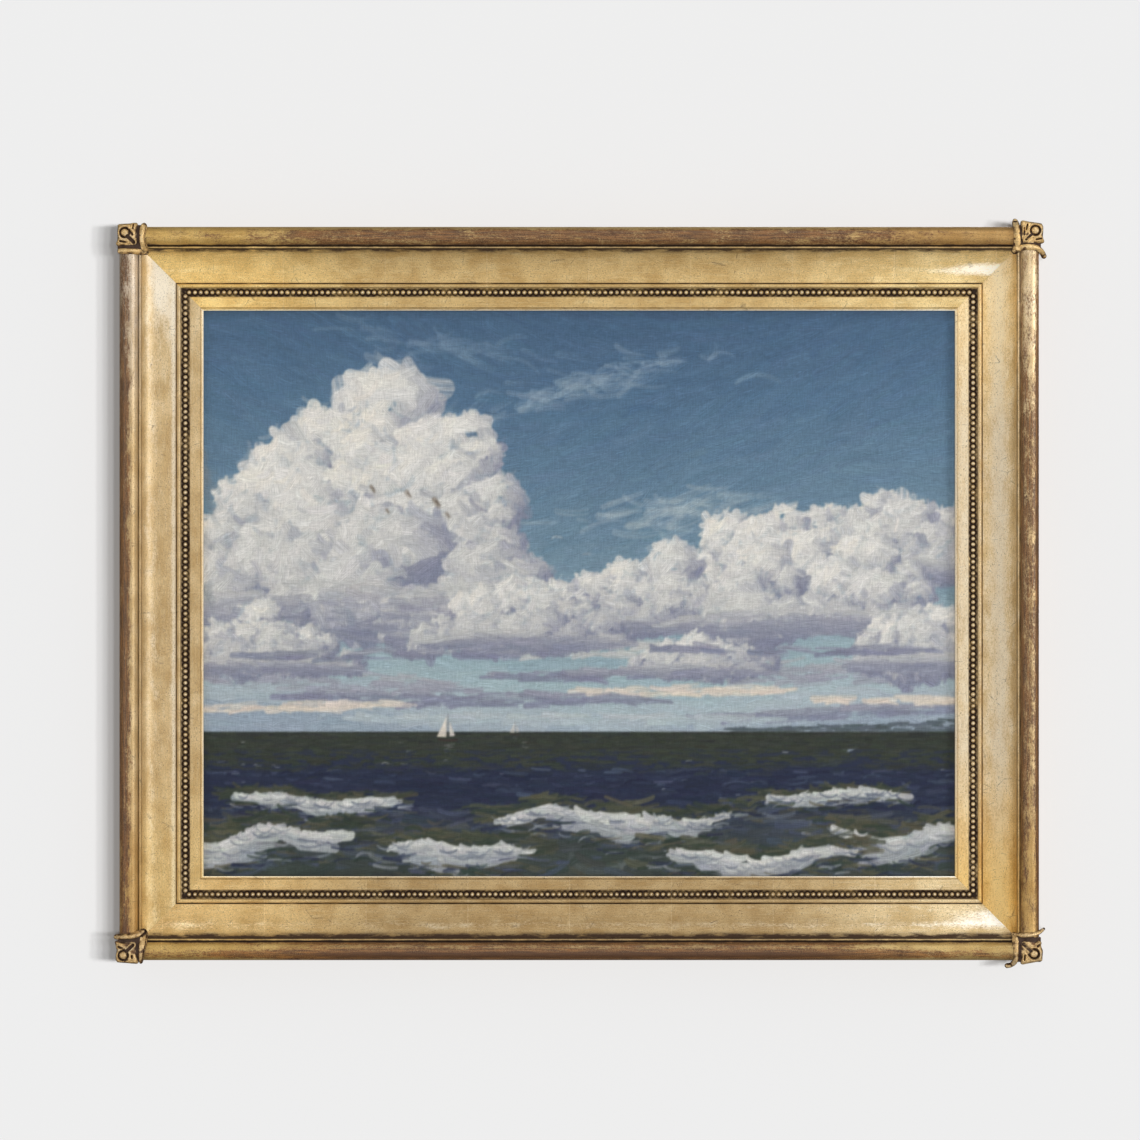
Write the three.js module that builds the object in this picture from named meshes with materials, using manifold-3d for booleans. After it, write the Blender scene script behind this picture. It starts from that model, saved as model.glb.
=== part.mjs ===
// A framed oil painting: a gilded, mitred wooden frame with a string of pearls round its inside and
// moulded caps over its outer corners, and in it a painted canvas on a wooden stretcher.
//
// Millimetres, +Z up. The painting faces -Y and the frame's flat back lies in the plane Y = 0.
// The origin is on the back of the top rail, halfway along it, where the frame hangs on its wall.
//
// Sections are given as [inward, height]: the distance inward from an outer edge, and the height
// above the wall. Corner ornaments are given as (p, q, height): the distances inward from the
// frame's corner along the level rail and along the upright rail, and the height above the wall.

import * as THREE from 'three';
import { mergeVertices } from 'three/addons/utils/BufferGeometryUtils.js';
import Module from 'manifold-3d';

const wasm = await Module();
wasm.setup();

// ---- Driving dimensions ----

const SIGHT_WIDTH = 594.5;          // the part of the painting that shows
const SIGHT_HEIGHT = 447.5;
const RAIL_WIDTH = 65.7;            // from the outer edge to the sight edge
const HANGING_INSET = 20;           // from the top edge down to the hanging point
const GAP = 0.3;                    // kept between pieces that touch

const OUTER_WIDTH = SIGHT_WIDTH + 2 * RAIL_WIDTH;
const OUTER_HEIGHT = SIGHT_HEIGHT + 2 * RAIL_WIDTH;
const FRAME_RING = { width: OUTER_WIDTH, height: OUTER_HEIGHT };

// The half-round along the outer edge, which overhangs the side wall.
const SIDE_WALL_INSET = 2.5;
const TORUS_WIDTH = 14.7;
const TORUS_RISE = 8;
const TORUS_HEIGHT = 38;            // of its widest point
const TORUS_STEPS = 10;

// The small fillet between the half-round and the cove, with a narrow quirk on each side.
const FILLET_START = 15.4;
const FILLET_END = 16.9;
const FILLET_HEIGHT = 39.2;
const OUTER_QUIRK_HEIGHT = 37;
const INNER_QUIRK_HEIGHT = 37.8;

// The wide cove, a quarter of an ellipse that is steep outside and flat inside.
const COVE_START = 17.4;
const COVE_END = 43.9;
const COVE_TOP = 38.2;
const COVE_BOTTOM = 24.5;
const COVE_STEPS = 9;

// The rounded fillet inside the cove, the channel of the pearls, the flat and the sight edge.
const BEAD_FILLET_START = 44.6;
const BEAD_FILLET_RADIUS = 1.6;
const BEAD_FILLET_HEIGHT = 26;
const BEAD_FILLET_STEPS = 4;
const BEAD_QUIRK_HEIGHT = 23.2;
const CHANNEL_START = BEAD_FILLET_START + 2 * BEAD_FILLET_RADIUS;
const CHANNEL_END = 55;
const CHANNEL_FLOOR = 21.2;
const FLAT_HEIGHT = 24;
const SIGHT_GROOVE_START = 63.4;
const SIGHT_GROOVE_END = 63.9;
const SIGHT_GROOVE_HEIGHT = 23.3;
const SIGHT_EDGE_HEIGHT = 23;
const REBATE_START = 57;
const REBATE_HEIGHT = 18.9;

// The pearls.
const BEAD_LINE = (CHANNEL_START + CHANNEL_END) / 2;
const BEAD_PITCH = 4.56;
const BEAD_HALF_WIDTH = 1.85;
const BEAD_TOP = 25.2;
const BEAD_NECK_HALF_WIDTH = 1.1;
const BEAD_NECK_TOP = 22.9;

// The canvas and its stretcher.
const CANVAS_RING = { width: 610, height: 460 };
const CANVAS_THICKNESS = 1;
const CANVAS_FRONT = REBATE_HEIGHT - GAP;
const CANVAS_BACK = 0.3;
const CANVAS_TURNED_MARGIN = 16;    // what is folded onto the back of the stretcher
const STRETCHER_INSET = CANVAS_THICKNESS + GAP;
const STRETCHER_RING = {
  width: CANVAS_RING.width - 2 * STRETCHER_INSET,
  height: CANVAS_RING.height - 2 * STRETCHER_INSET,
};
const STRETCHER_WIDTH = 42;
const STRETCHER_LIP = 5;            // the raised edge that the canvas is stretched over
const STRETCHER_SLOPE = 3;          // how far its front falls away inside that edge

// The corner caps.
const BLOCK_INNER = 13.6;           // the block's inner sides
const BLOCK_OVERHANG = 2.6;
const BLOCK_NOTCH = 6.4;            // where the outline is nicked between its lobes
const BLOCK_NOTCH_OVERHANG = 1.3;
const BLOCK_LOBE_CENTRE = 2.9;
const BLOCK_LOBE_RADIUS = 5.0;
const BLOCK_BASE = 34.5;
const BLOCK_TOP = 48.8;
const BLOCK_BEVEL = 1.5;
const PLATE_OVERHANG = 1.2;         // the thinner plate that joins the block to its straps
const PLATE_INNER = 17;
const PLATE_TOP = 46.9;
const EYE_CENTRE = 3.9;             // on the corner's diagonal
const EYE_GROOVE_OUTER = 3.9;
const EYE_GROOVE_INNER = 2.5;
const EYE_SEGMENTS = 12;
const CARVING_DEPTH = 1.8;
const SLOT_START = 6.4;             // on the diagonal
const SLOT_END = 11.6;
const SLOT_HALF_WIDTH = 1.1;
const STRAP_LINE = 18.3;            // how far in from the corner a strap crosses its rail
const STRAP_INNER_END = 20.6;
const STRAP_OUTER_END = -3;
const STRAP_HALF_WIDTH = 2.1;
const STRAP_FLARE = 1.1;            // what a strap widens by at its two ends
const STRAP_THICKNESS = 2.2;
const STRAP_OVERHANG = 3.6;
const STRAP_CROWN = 0.8;
const STRAP_SHOULDER = 17;          // where a strap turns down into the cove
const STRAP_INNER_HEIGHT = 35.5;
const STRAP_BASE = 33;
const STRAP_INNER_BASE = 29.5;
const STRAP_STEPS = 9;
const TAIL_DROP = 2.6;              // how far a curled tail stands out past the strap's end

// ---- Materials ----

const gilding = (color) => new THREE.MeshStandardMaterial({ color, roughness: 0.42, metalness: 0.75 });
const GILT_RAIL = 0xc9a670;
const GILT_BEADS = 0xc49c62;
const GILT_CAP = 0xb18f58;
const PAINTED_LINEN = 0x7d8c99;
const SOFTWOOD = 0xb08d5e;

// ---- The sides of a rectangular ring ----

const SIDES = [
  { name: 'top', turn: 0, upright: false },
  { name: 'right', turn: Math.PI / 2, upright: true },
  { name: 'bottom', turn: Math.PI, upright: false },
  { name: 'left', turn: -Math.PI / 2, upright: true },
];

function sideLength(side, ring) {
  return side.upright ? ring.height : ring.width;
}

function sideReach(side, ring) {
  return (side.upright ? ring.width : ring.height) / 2;
}

// Points along an arc of an ellipse, both ends included.
function arc(centre, radii, from, to, steps) {
  const points = [];
  for (let i = 0; i <= steps; i++) {
    const angle = from + (to - from) * (i / steps);
    points.push([centre[0] + radii[0] * Math.cos(angle), centre[1] + radii[1] * Math.sin(angle)]);
  }
  return points;
}

// A bar along the top side of a ring, centred on the ring's middle, with mitred ends. Between its
// ends it has evenly spaced stations on the line at `line`, and `reshape` may move a section point
// at a station.
function mitredBar(section, length, reach, { gap = GAP, steps = 1, line = 0, reshape } = {}) {
  const shape = new THREE.Shape(section.map(([inward, height]) => new THREE.Vector2(inward, height)));
  const geometry = new THREE.ExtrudeGeometry(shape, { depth: steps, steps, bevelEnabled: false });
  const position = geometry.attributes.position;
  for (let i = 0; i < position.count; i++) {
    const station = Math.round(position.getZ(i));
    let point = [position.getX(i), position.getY(i)];
    if (reshape) {
      point = reshape(point, station);
    }
    const isEnd = station === 0 || station === steps;
    const halfLength = isEnd ? length / 2 - point[0] - gap / 2 : length / 2 - line;
    position.setXYZ(i, halfLength * (1 - (2 * station) / steps), -point[1], reach - point[0]);
  }
  geometry.computeVertexNormals();
  return geometry;
}

// ---- Solids for joining and cutting ----

const AS_IT_IS = new THREE.Matrix4();

// The matrix may mirror: the triangles are then turned round, so that they still face out.
function solidOf(geometry, matrix = AS_IT_IS) {
  const bare = geometry.clone().applyMatrix4(matrix);
  bare.deleteAttribute('normal');
  bare.deleteAttribute('uv');
  const welded = mergeVertices(bare, 1e-4);
  const triangles = Uint32Array.from(welded.index.array);
  if (matrix.determinant() < 0) {
    for (let i = 0; i < triangles.length; i += 3) {
      [triangles[i], triangles[i + 1]] = [triangles[i + 1], triangles[i]];
    }
  }
  const vertices = new Float32Array(welded.attributes.position.array);
  return new wasm.Manifold(new wasm.Mesh({ numProp: 3, vertProperties: vertices, triVerts: triangles }));
}

function geometryOf(solid) {
  const mesh = solid.getMesh();
  const geometry = new THREE.BufferGeometry();
  geometry.setAttribute('position', new THREE.BufferAttribute(mesh.vertProperties, 3));
  geometry.setIndex(new THREE.BufferAttribute(mesh.triVerts, 1));
  geometry.computeVertexNormals();
  return geometry;
}

function blockBetween(width, height, low, high) {
  const geometry = new THREE.BoxGeometry(width, high - low, height);
  geometry.translate(0, -(low + high) / 2, 0);
  return solidOf(geometry);
}

// ---- Rails ----

// With `grow`, the front of the section stands that much further out: the space a cap must clear.
function railSection(grow = 0) {
  const torusMiddle = TORUS_WIDTH / 2;
  const torusRadii = [torusMiddle + grow, TORUS_RISE + grow];
  const wall = SIDE_WALL_INSET - grow;
  const overhangAngle = Math.PI + Math.acos((torusMiddle - wall) / torusRadii[0]);
  const coveRadii = [COVE_END - COVE_START - grow, COVE_TOP - COVE_BOTTOM - grow];
  const beadFilletMiddle = BEAD_FILLET_START + BEAD_FILLET_RADIUS;
  const beadFilletBase = BEAD_FILLET_HEIGHT - BEAD_FILLET_RADIUS;
  return [
    [wall, 0],
    ...arc([torusMiddle, TORUS_HEIGHT], torusRadii, overhangAngle, 0, TORUS_STEPS),
    [TORUS_WIDTH + grow, OUTER_QUIRK_HEIGHT + grow],
    [FILLET_START - grow, OUTER_QUIRK_HEIGHT + grow],
    [FILLET_START - grow, FILLET_HEIGHT + grow],
    [FILLET_END + grow, FILLET_HEIGHT + grow],
    [FILLET_END + grow, INNER_QUIRK_HEIGHT + grow],
    [COVE_START + grow, INNER_QUIRK_HEIGHT + grow],
    ...arc([COVE_END, COVE_TOP], coveRadii, Math.PI, 1.5 * Math.PI, COVE_STEPS),
    [COVE_END, BEAD_QUIRK_HEIGHT],
    [BEAD_FILLET_START, BEAD_QUIRK_HEIGHT],
    ...arc([beadFilletMiddle, beadFilletBase], [BEAD_FILLET_RADIUS, BEAD_FILLET_RADIUS],
      Math.PI, 0, BEAD_FILLET_STEPS),
    [CHANNEL_START, CHANNEL_FLOOR],
    [CHANNEL_END, CHANNEL_FLOOR],
    [CHANNEL_END, FLAT_HEIGHT],
    [SIGHT_GROOVE_START, FLAT_HEIGHT],
    [SIGHT_GROOVE_START, SIGHT_GROOVE_HEIGHT],
    [SIGHT_GROOVE_END, SIGHT_GROOVE_HEIGHT],
    [SIGHT_GROOVE_END, FLAT_HEIGHT],
    [RAIL_WIDTH, SIGHT_EDGE_HEIGHT],
    [RAIL_WIDTH, REBATE_HEIGHT],
    [REBATE_START, REBATE_HEIGHT],
    [REBATE_START, 0],
  ];
}

function railGeometry(side) {
  return mitredBar(railSection(), sideLength(side, FRAME_RING), sideReach(side, FRAME_RING));
}

// ---- Pearls ----

// A string of pearls is a ridge whose width and height rise at each pearl and fall between them.
function beadCourseGeometry(side) {
  const length = sideLength(side, FRAME_RING);
  const beads = Math.round((length - 2 * BEAD_LINE) / BEAD_PITCH);
  const base = CHANNEL_FLOOR + GAP;
  const ridge = [[BEAD_LINE - 1, base], [BEAD_LINE, base + 1], [BEAD_LINE + 1, base]];
  const reshape = ([inward, height], station) => {
    const onBead = station % 2 === 1;
    const halfWidth = onBead ? BEAD_HALF_WIDTH : BEAD_NECK_HALF_WIDTH;
    const top = onBead ? BEAD_TOP : BEAD_NECK_TOP;
    return [BEAD_LINE + (inward - BEAD_LINE) * halfWidth, height > base + 0.5 ? top : base];
  };
  const options = { steps: 2 * beads, line: BEAD_LINE, reshape };
  return mitredBar(ridge, length, sideReach(side, FRAME_RING), options);
}

// ---- Corner caps ----

// From (p, q, height) at a corner to the frame's own axes, centred on the frame.
function cornerMatrix(corner) {
  return new THREE.Matrix4().set(
    -corner.right, 0, 0, (corner.right * OUTER_WIDTH) / 2,
    0, 0, -1, 0,
    0, -corner.up, 0, (corner.up * OUTER_HEIGHT) / 2,
    0, 0, 0, 1,
  );
}

const SWAP_P_AND_Q = new THREE.Matrix4().set(
  0, 1, 0, 0,
  1, 0, 0, 0,
  0, 0, 1, 0,
  0, 0, 0, 1,
);

// The lobed block over the very corner: a round lobe between two flatter ones.
function capBlock() {
  const outline = new THREE.Shape();
  const lobeAngle = 0.15 * Math.PI;
  outline.moveTo(BLOCK_INNER, BLOCK_INNER);
  outline.lineTo(BLOCK_INNER, -BLOCK_OVERHANG);
  outline.quadraticCurveTo(0.7 * BLOCK_INNER, -1.4 * BLOCK_OVERHANG, BLOCK_NOTCH, -BLOCK_NOTCH_OVERHANG);
  outline.absarc(BLOCK_LOBE_CENTRE, BLOCK_LOBE_CENTRE, BLOCK_LOBE_RADIUS,
    -0.5 * Math.PI + lobeAngle, Math.PI - lobeAngle, true);
  outline.lineTo(-BLOCK_NOTCH_OVERHANG, BLOCK_NOTCH);
  outline.quadraticCurveTo(-1.4 * BLOCK_OVERHANG, 0.7 * BLOCK_INNER, -BLOCK_OVERHANG, BLOCK_INNER);
  outline.closePath();
  const geometry = new THREE.ExtrudeGeometry(outline, {
    depth: BLOCK_TOP - BLOCK_BASE - BLOCK_BEVEL,
    curveSegments: 6,
    bevelThickness: BLOCK_BEVEL,
    bevelSize: 0.7 * BLOCK_BEVEL,
    bevelOffset: -0.7 * BLOCK_BEVEL,
    bevelSegments: 1,
  });
  geometry.translate(0, 0, BLOCK_BASE);
  return solidOf(geometry);
}

// The plate under the block, which shows as the floor of the channel beside each strap.
function capPlate() {
  const side = PLATE_INNER + PLATE_OVERHANG;
  const middle = (PLATE_INNER - PLATE_OVERHANG) / 2;
  const geometry = new THREE.BoxGeometry(side, side, PLATE_TOP - BLOCK_BASE);
  geometry.translate(middle, middle, (PLATE_TOP + BLOCK_BASE) / 2);
  return solidOf(geometry);
}

// The ring-shaped groove round the block's eye.
function eyeGroove() {
  const floor = BLOCK_TOP - CARVING_DEPTH;
  const above = BLOCK_TOP + 1;
  const section = [
    new THREE.Vector2(EYE_GROOVE_INNER, floor),
    new THREE.Vector2(EYE_GROOVE_OUTER, floor),
    new THREE.Vector2(EYE_GROOVE_OUTER, above),
    new THREE.Vector2(EYE_GROOVE_INNER, above),
    new THREE.Vector2(EYE_GROOVE_INNER, floor),
  ];
  const geometry = new THREE.LatheGeometry(section, EYE_SEGMENTS);
  geometry.rotateX(Math.PI / 2);
  geometry.translate(EYE_CENTRE, EYE_CENTRE, 0);
  return solidOf(geometry);
}

// The slot that runs from the eye towards the frame's inside, along the diagonal.
function capSlot() {
  const outline = new THREE.Shape();
  outline.absarc(SLOT_START, 0, SLOT_HALF_WIDTH, 0.5 * Math.PI, 1.5 * Math.PI, false);
  outline.absarc(SLOT_END, 0, SLOT_HALF_WIDTH, 1.5 * Math.PI, 2.5 * Math.PI, false);
  outline.closePath();
  const geometry = new THREE.ExtrudeGeometry(outline, {
    depth: CARVING_DEPTH + 1, curveSegments: 4, bevelEnabled: false,
  });
  // Distances along the diagonal are given by p alone, so the slot is stretched to match.
  geometry.scale(Math.SQRT2, 1, 1);
  geometry.rotateZ(Math.PI / 4);
  geometry.translate(0, 0, BLOCK_TOP - CARVING_DEPTH);
  return solidOf(geometry);
}

// The height of a strap's back over the rail that it crosses.
function strapHeight(inward) {
  const torusMiddle = TORUS_WIDTH / 2;
  const archHeight = (distance) => {
    const across = (distance - torusMiddle) / (torusMiddle + STRAP_OVERHANG);
    return TORUS_HEIGHT + (TORUS_RISE + STRAP_THICKNESS) * Math.sqrt(Math.max(0, 1 - across * across));
  };
  if (inward < STRAP_SHOULDER) {
    return archHeight(inward);
  }
  const pastShoulder = (inward - STRAP_SHOULDER) / (STRAP_INNER_END + STRAP_HALF_WIDTH - STRAP_SHOULDER);
  return THREE.MathUtils.lerp(archHeight(STRAP_SHOULDER), STRAP_INNER_HEIGHT, pastShoulder);
}

// A strap that crosses the level rail beside the block, from the cove out over the half-round. Its
// outer end curls away from the corner by `tail`.
function capStrap(tail) {
  const route = [
    new THREE.Vector3(STRAP_INNER_END, STRAP_INNER_END, 0),
    new THREE.Vector3(STRAP_LINE + 0.4, TORUS_WIDTH, 0),
    new THREE.Vector3(STRAP_LINE, TORUS_WIDTH / 2, 0),
    new THREE.Vector3(STRAP_LINE + 0.3, 0, 0),
  ];
  if (tail > 0) {
    route.push(new THREE.Vector3(STRAP_LINE + 0.25 * tail, STRAP_OUTER_END, 0));
    route.push(new THREE.Vector3(STRAP_LINE + tail, STRAP_OUTER_END - TAIL_DROP, 0));
  } else {
    route.push(new THREE.Vector3(STRAP_LINE + 0.8, STRAP_OUTER_END, 0));
  }
  const curve = new THREE.CatmullRomCurve3(route);
  const geometry = new THREE.BoxGeometry(2, STRAP_STEPS, 1, 2, STRAP_STEPS, 1);
  const position = geometry.attributes.position;
  for (let i = 0; i < position.count; i++) {
    const across = position.getX(i);
    const along = THREE.MathUtils.clamp(position.getY(i) / STRAP_STEPS + 0.5, 0, 1);
    const isTop = position.getZ(i) > 0;
    const centre = curve.getPoint(along);
    const tangent = curve.getTangent(along);
    const fromTorus = Math.min(1, Math.abs(centre.y - TORUS_WIDTH / 2) / STRAP_INNER_END);
    const halfWidth = STRAP_HALF_WIDTH + STRAP_FLARE * fromTorus;
    const p = centre.x + tangent.y * across * halfWidth;
    const q = centre.y - tangent.x * across * halfWidth;
    const crown = STRAP_CROWN * (1 - across * across);
    const base = centre.y > STRAP_SHOULDER ? STRAP_INNER_BASE : STRAP_BASE;
    position.setXYZ(i, p, q, isTop ? strapHeight(centre.y) + crown : base);
  }
  return geometry;
}

function cornerCapGeometry(corner, railSpace) {
  const toFrame = cornerMatrix(corner);
  const placed = (solid) => solidOf(geometryOf(solid), toFrame);
  const block = capBlock().add(capPlate()).subtract(eyeGroove()).subtract(capSlot());
  const levelStrap = solidOf(capStrap(corner.levelTail), toFrame);
  const uprightStrap = solidOf(capStrap(corner.uprightTail), toFrame.clone().multiply(SWAP_P_AND_Q));
  const cap = placed(block).add(levelStrap).add(uprightStrap);
  return geometryOf(cap.subtract(railSpace));
}

// The frame's four rails, grown by the gap that the caps keep from them.
function grownRails() {
  const rails = SIDES.map((side) => {
    const options = { gap: 0 };
    const bar = mitredBar(railSection(GAP), sideLength(side, FRAME_RING), sideReach(side, FRAME_RING), options);
    return solidOf(bar, new THREE.Matrix4().makeRotationY(side.turn));
  });
  return rails.reduce((whole, rail) => whole.add(rail));
}

const CORNERS = [
  { name: 'top_left', right: -1, up: 1, levelTail: 0, uprightTail: 0 },
  { name: 'top_right', right: 1, up: 1, levelTail: 2, uprightTail: 7 },
  { name: 'bottom_right', right: 1, up: -1, levelTail: 7, uprightTail: 6 },
  { name: 'bottom_left', right: -1, up: -1, levelTail: 0, uprightTail: 2 },
];

// ---- Canvas and stretcher ----

function canvasGeometry() {
  const { width, height } = CANVAS_RING;
  const walls = 2 * CANVAS_THICKNESS;
  const margins = 2 * CANVAS_TURNED_MARGIN;
  const outside = blockBetween(width, height, CANVAS_BACK, CANVAS_FRONT);
  const inside = blockBetween(width - walls, height - walls,
    CANVAS_BACK + CANVAS_THICKNESS, CANVAS_FRONT - CANVAS_THICKNESS);
  const backOpening = blockBetween(width - margins, height - margins,
    CANVAS_BACK - 1, CANVAS_BACK + CANVAS_THICKNESS + 1);
  return geometryOf(outside.subtract(inside).subtract(backOpening));
}

function stretcherBarGeometry(side) {
  const back = CANVAS_BACK + STRETCHER_INSET;
  const front = CANVAS_FRONT - STRETCHER_INSET;
  const section = [
    [0, back],
    [0, front],
    [STRETCHER_LIP, front],
    [STRETCHER_WIDTH, front - STRETCHER_SLOPE],
    [STRETCHER_WIDTH, back],
  ];
  return mitredBar(section, sideLength(side, STRETCHER_RING), sideReach(side, STRETCHER_RING));
}

// ---- The painting ----

const painting = new THREE.Group();
painting.position.z = HANGING_INSET - OUTER_HEIGHT / 2;

function addPiece(name, geometry, material, turn = 0) {
  const mesh = new THREE.Mesh(geometry, material);
  mesh.name = name;
  mesh.rotation.y = turn;
  painting.add(mesh);
}

for (const side of SIDES) {
  addPiece(`rail_${side.name}`, railGeometry(side), gilding(GILT_RAIL), side.turn);
  addPiece(`bead_course_${side.name}`, beadCourseGeometry(side), gilding(GILT_BEADS), side.turn);
  const softwood = new THREE.MeshStandardMaterial({ color: SOFTWOOD, roughness: 0.8, metalness: 0 });
  addPiece(`stretcher_bar_${side.name}`, stretcherBarGeometry(side), softwood, side.turn);
}

const railSpace = grownRails();
for (const corner of CORNERS) {
  addPiece(`corner_cap_${corner.name}`, cornerCapGeometry(corner, railSpace), gilding(GILT_CAP));
}

const linen = new THREE.MeshStandardMaterial({ color: PAINTED_LINEN, roughness: 0.6, metalness: 0 });
addPiece('canvas', canvasGeometry(), linen);

export default painting;
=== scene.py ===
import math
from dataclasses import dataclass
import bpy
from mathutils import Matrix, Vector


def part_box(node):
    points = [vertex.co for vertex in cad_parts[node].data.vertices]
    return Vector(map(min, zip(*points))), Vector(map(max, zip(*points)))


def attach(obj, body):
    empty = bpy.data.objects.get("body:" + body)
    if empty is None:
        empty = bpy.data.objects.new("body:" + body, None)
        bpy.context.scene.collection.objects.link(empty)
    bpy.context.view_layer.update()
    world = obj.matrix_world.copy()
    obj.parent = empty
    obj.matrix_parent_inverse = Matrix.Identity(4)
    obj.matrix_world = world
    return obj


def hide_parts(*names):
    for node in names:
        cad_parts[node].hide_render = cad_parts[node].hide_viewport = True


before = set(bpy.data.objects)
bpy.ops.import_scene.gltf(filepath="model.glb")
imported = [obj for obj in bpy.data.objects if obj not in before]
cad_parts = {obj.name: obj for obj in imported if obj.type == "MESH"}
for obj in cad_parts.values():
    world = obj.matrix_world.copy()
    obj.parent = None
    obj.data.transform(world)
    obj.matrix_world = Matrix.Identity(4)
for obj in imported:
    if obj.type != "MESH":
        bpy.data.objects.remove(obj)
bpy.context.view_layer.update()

# The looks of a framed oil painting: gilded rails, strings of pearls, moulded corner caps, and a
# seascape in oils on linen. Sizes are in millimetres until a mesh is made, unless a name says so.
#
# Sections are given as in the CAD model: `inward` is the distance in from an outer edge of the frame
# and `height` the distance out from the wall. Corner ornaments use (p, q): the distances in from the
# frame's corner along the level rail and along the upright rail.

from types import SimpleNamespace

import bpy
import numpy as np
from mathutils import Vector

MM = 0.001

# ---- Sizes ----

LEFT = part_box("rail_left")[0].x / MM
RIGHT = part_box("rail_right")[1].x / MM
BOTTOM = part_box("rail_bottom")[0].z / MM
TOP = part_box("rail_top")[1].z / MM
OUTER_WIDTH = RIGHT - LEFT
OUTER_HEIGHT = TOP - BOTTOM
RAIL_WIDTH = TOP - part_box("rail_top")[0].z / MM
CREST = -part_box("rail_top")[0].y / MM
SIGHT_WIDTH = OUTER_WIDTH - 2 * RAIL_WIDTH
SIGHT_HEIGHT = OUTER_HEIGHT - 2 * RAIL_WIDTH
CENTRE_X = (LEFT + RIGHT) / 2
CENTRE_Z = (BOTTOM + TOP) / 2

SIDE_WALL_INSET = 2.5
TORUS_WIDTH = 14.7
TORUS_RISE = 8.0
TORUS_UNDERSIDE = 30.0              # lower than any of its gold
FILLET_START = 15.4
FILLET_END = 16.9
FILLET_HEIGHT = 39.2
OUTER_QUIRK_HEIGHT = 36.6
INNER_QUIRK_HEIGHT = 37.4
COVE_START = 17.4
COVE_END = 43.9
COVE_TOP = 38.2
COVE_BOTTOM = 24.5
BEAD_QUIRK_HEIGHT = 23.0
BEAD_FILLET_START = 44.6
BEAD_FILLET_RADIUS = 1.6
BEAD_FILLET_TOP = 26.0
CHANNEL_START = BEAD_FILLET_START + 2 * BEAD_FILLET_RADIUS
CHANNEL_END = 55.0
CHANNEL_FLOOR = 21.2
FLAT_START = CHANNEL_END
FLAT_HEIGHT = 24.0
SIGHT_GROOVE_START = 63.4
SIGHT_GROOVE_END = 63.9
SIGHT_GROOVE_HEIGHT = 23.2
SIGHT_EDGE_HEIGHT = 23.0
REBATE_START = 57.0
REBATE_HEIGHT = 18.9

BEAD_LINE = (CHANNEL_START + CHANNEL_END) / 2
BEAD_PITCH = 4.56
BEAD_RADIUS = 1.85
BEAD_CENTRE_HEIGHT = 23.3

LEAF_SIZE = 80.5                    # gold leaf is laid in squares of this size, lapped
FIRST_LAP = 32.0                    # how much of the first leaf lies before a side's start


# ---- Meshes ----

def build_mesh(name, vertices, faces, sharp_angle=50):
    """A smooth-shaded object from vertices in millimetres, with edges sharper than the angle kept."""
    mesh = bpy.data.meshes.new(name)
    mesh.from_pydata((np.asarray(vertices) * MM).tolist(), [], [list(face) for face in faces])
    mesh.shade_smooth()
    mesh.set_sharp_from_angle(angle=math.radians(sharp_angle))
    piece = bpy.data.objects.new(name, mesh)
    bpy.context.scene.collection.objects.link(piece)
    return piece


def add_values(piece, name, values):
    attribute = piece.data.attributes.new(name, "FLOAT", "POINT")
    attribute.data.foreach_set("value", np.asarray(values, np.float32).ravel())


def add_vectors(piece, name, vectors):
    attribute = piece.data.attributes.new(name, "FLOAT_VECTOR", "POINT")
    attribute.data.foreach_set("vector", np.asarray(vectors, np.float32).ravel())


def add_colours(piece, name, colours):
    attribute = piece.data.attributes.new(name, "FLOAT_COLOR", "POINT")
    padded = np.concatenate([colours, np.ones((len(colours), 1))], axis=1)
    attribute.data.foreach_set("color", padded.astype(np.float32).ravel())


def add_bake_map(piece, across, up):
    """Spreads the piece's points over a square, in a UV map named OFBake."""
    layer = piece.data.uv_layers.new(name="OFBake")
    square = [(values - values.min()) / (values.max() - values.min()) for values in (across, up)]
    corners = np.empty(len(piece.data.loops), np.int32)
    piece.data.loops.foreach_get("vertex_index", corners)
    layer.data.foreach_set("uv", np.stack(square, axis=1)[corners].astype(np.float32).ravel())


def grid_faces(rows, columns, first=0):
    """Quads over a grid of vertices stored row by row."""
    corner = first + np.arange(rows - 1)[:, None] * columns + np.arange(columns - 1)[None, :]
    faces = np.stack([corner, corner + 1, corner + columns + 1, corner + columns], axis=-1)
    return faces.reshape(-1, 4)


def finish_piece(piece, material, slot, *nodes):
    """Gives a piece its material, and lets it stand for CAD nodes on the one body. `slot` is not used."""
    piece.data.materials.append(material)
    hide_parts(*nodes)
    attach(piece, "root")


def smoothstep(low, high, value):
    t = np.clip((value - low) / (high - low), 0, 1)
    return t * t * (3 - 2 * t)


def bump(value, centre, width):
    return np.exp(-((value - centre) / width) ** 2)


# ---- Materials ----

def to_linear(srgb):
    """sRGB values of 0 to 255 as linear light."""
    srgb = np.asarray(srgb, float) / 255
    return np.where(srgb <= 0.04045, srgb / 12.92, ((srgb + 0.055) / 1.055) ** 2.4)


def linear(red, green, blue):
    return tuple(to_linear((red, green, blue)))


class Value:
    """What one of a material's nodes gives. Arithmetic on it makes more nodes."""

    def __init__(self, graph, socket):
        self.graph = graph
        self.socket = socket

    def __add__(self, other):
        return self.graph.math("ADD", self, other)

    def __sub__(self, other):
        return self.graph.math("SUBTRACT", self, other)

    def __mul__(self, other):
        return self.graph.math("MULTIPLY", self, other)

    def __truediv__(self, other):
        return self.graph.math("DIVIDE", self, other)


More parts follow.
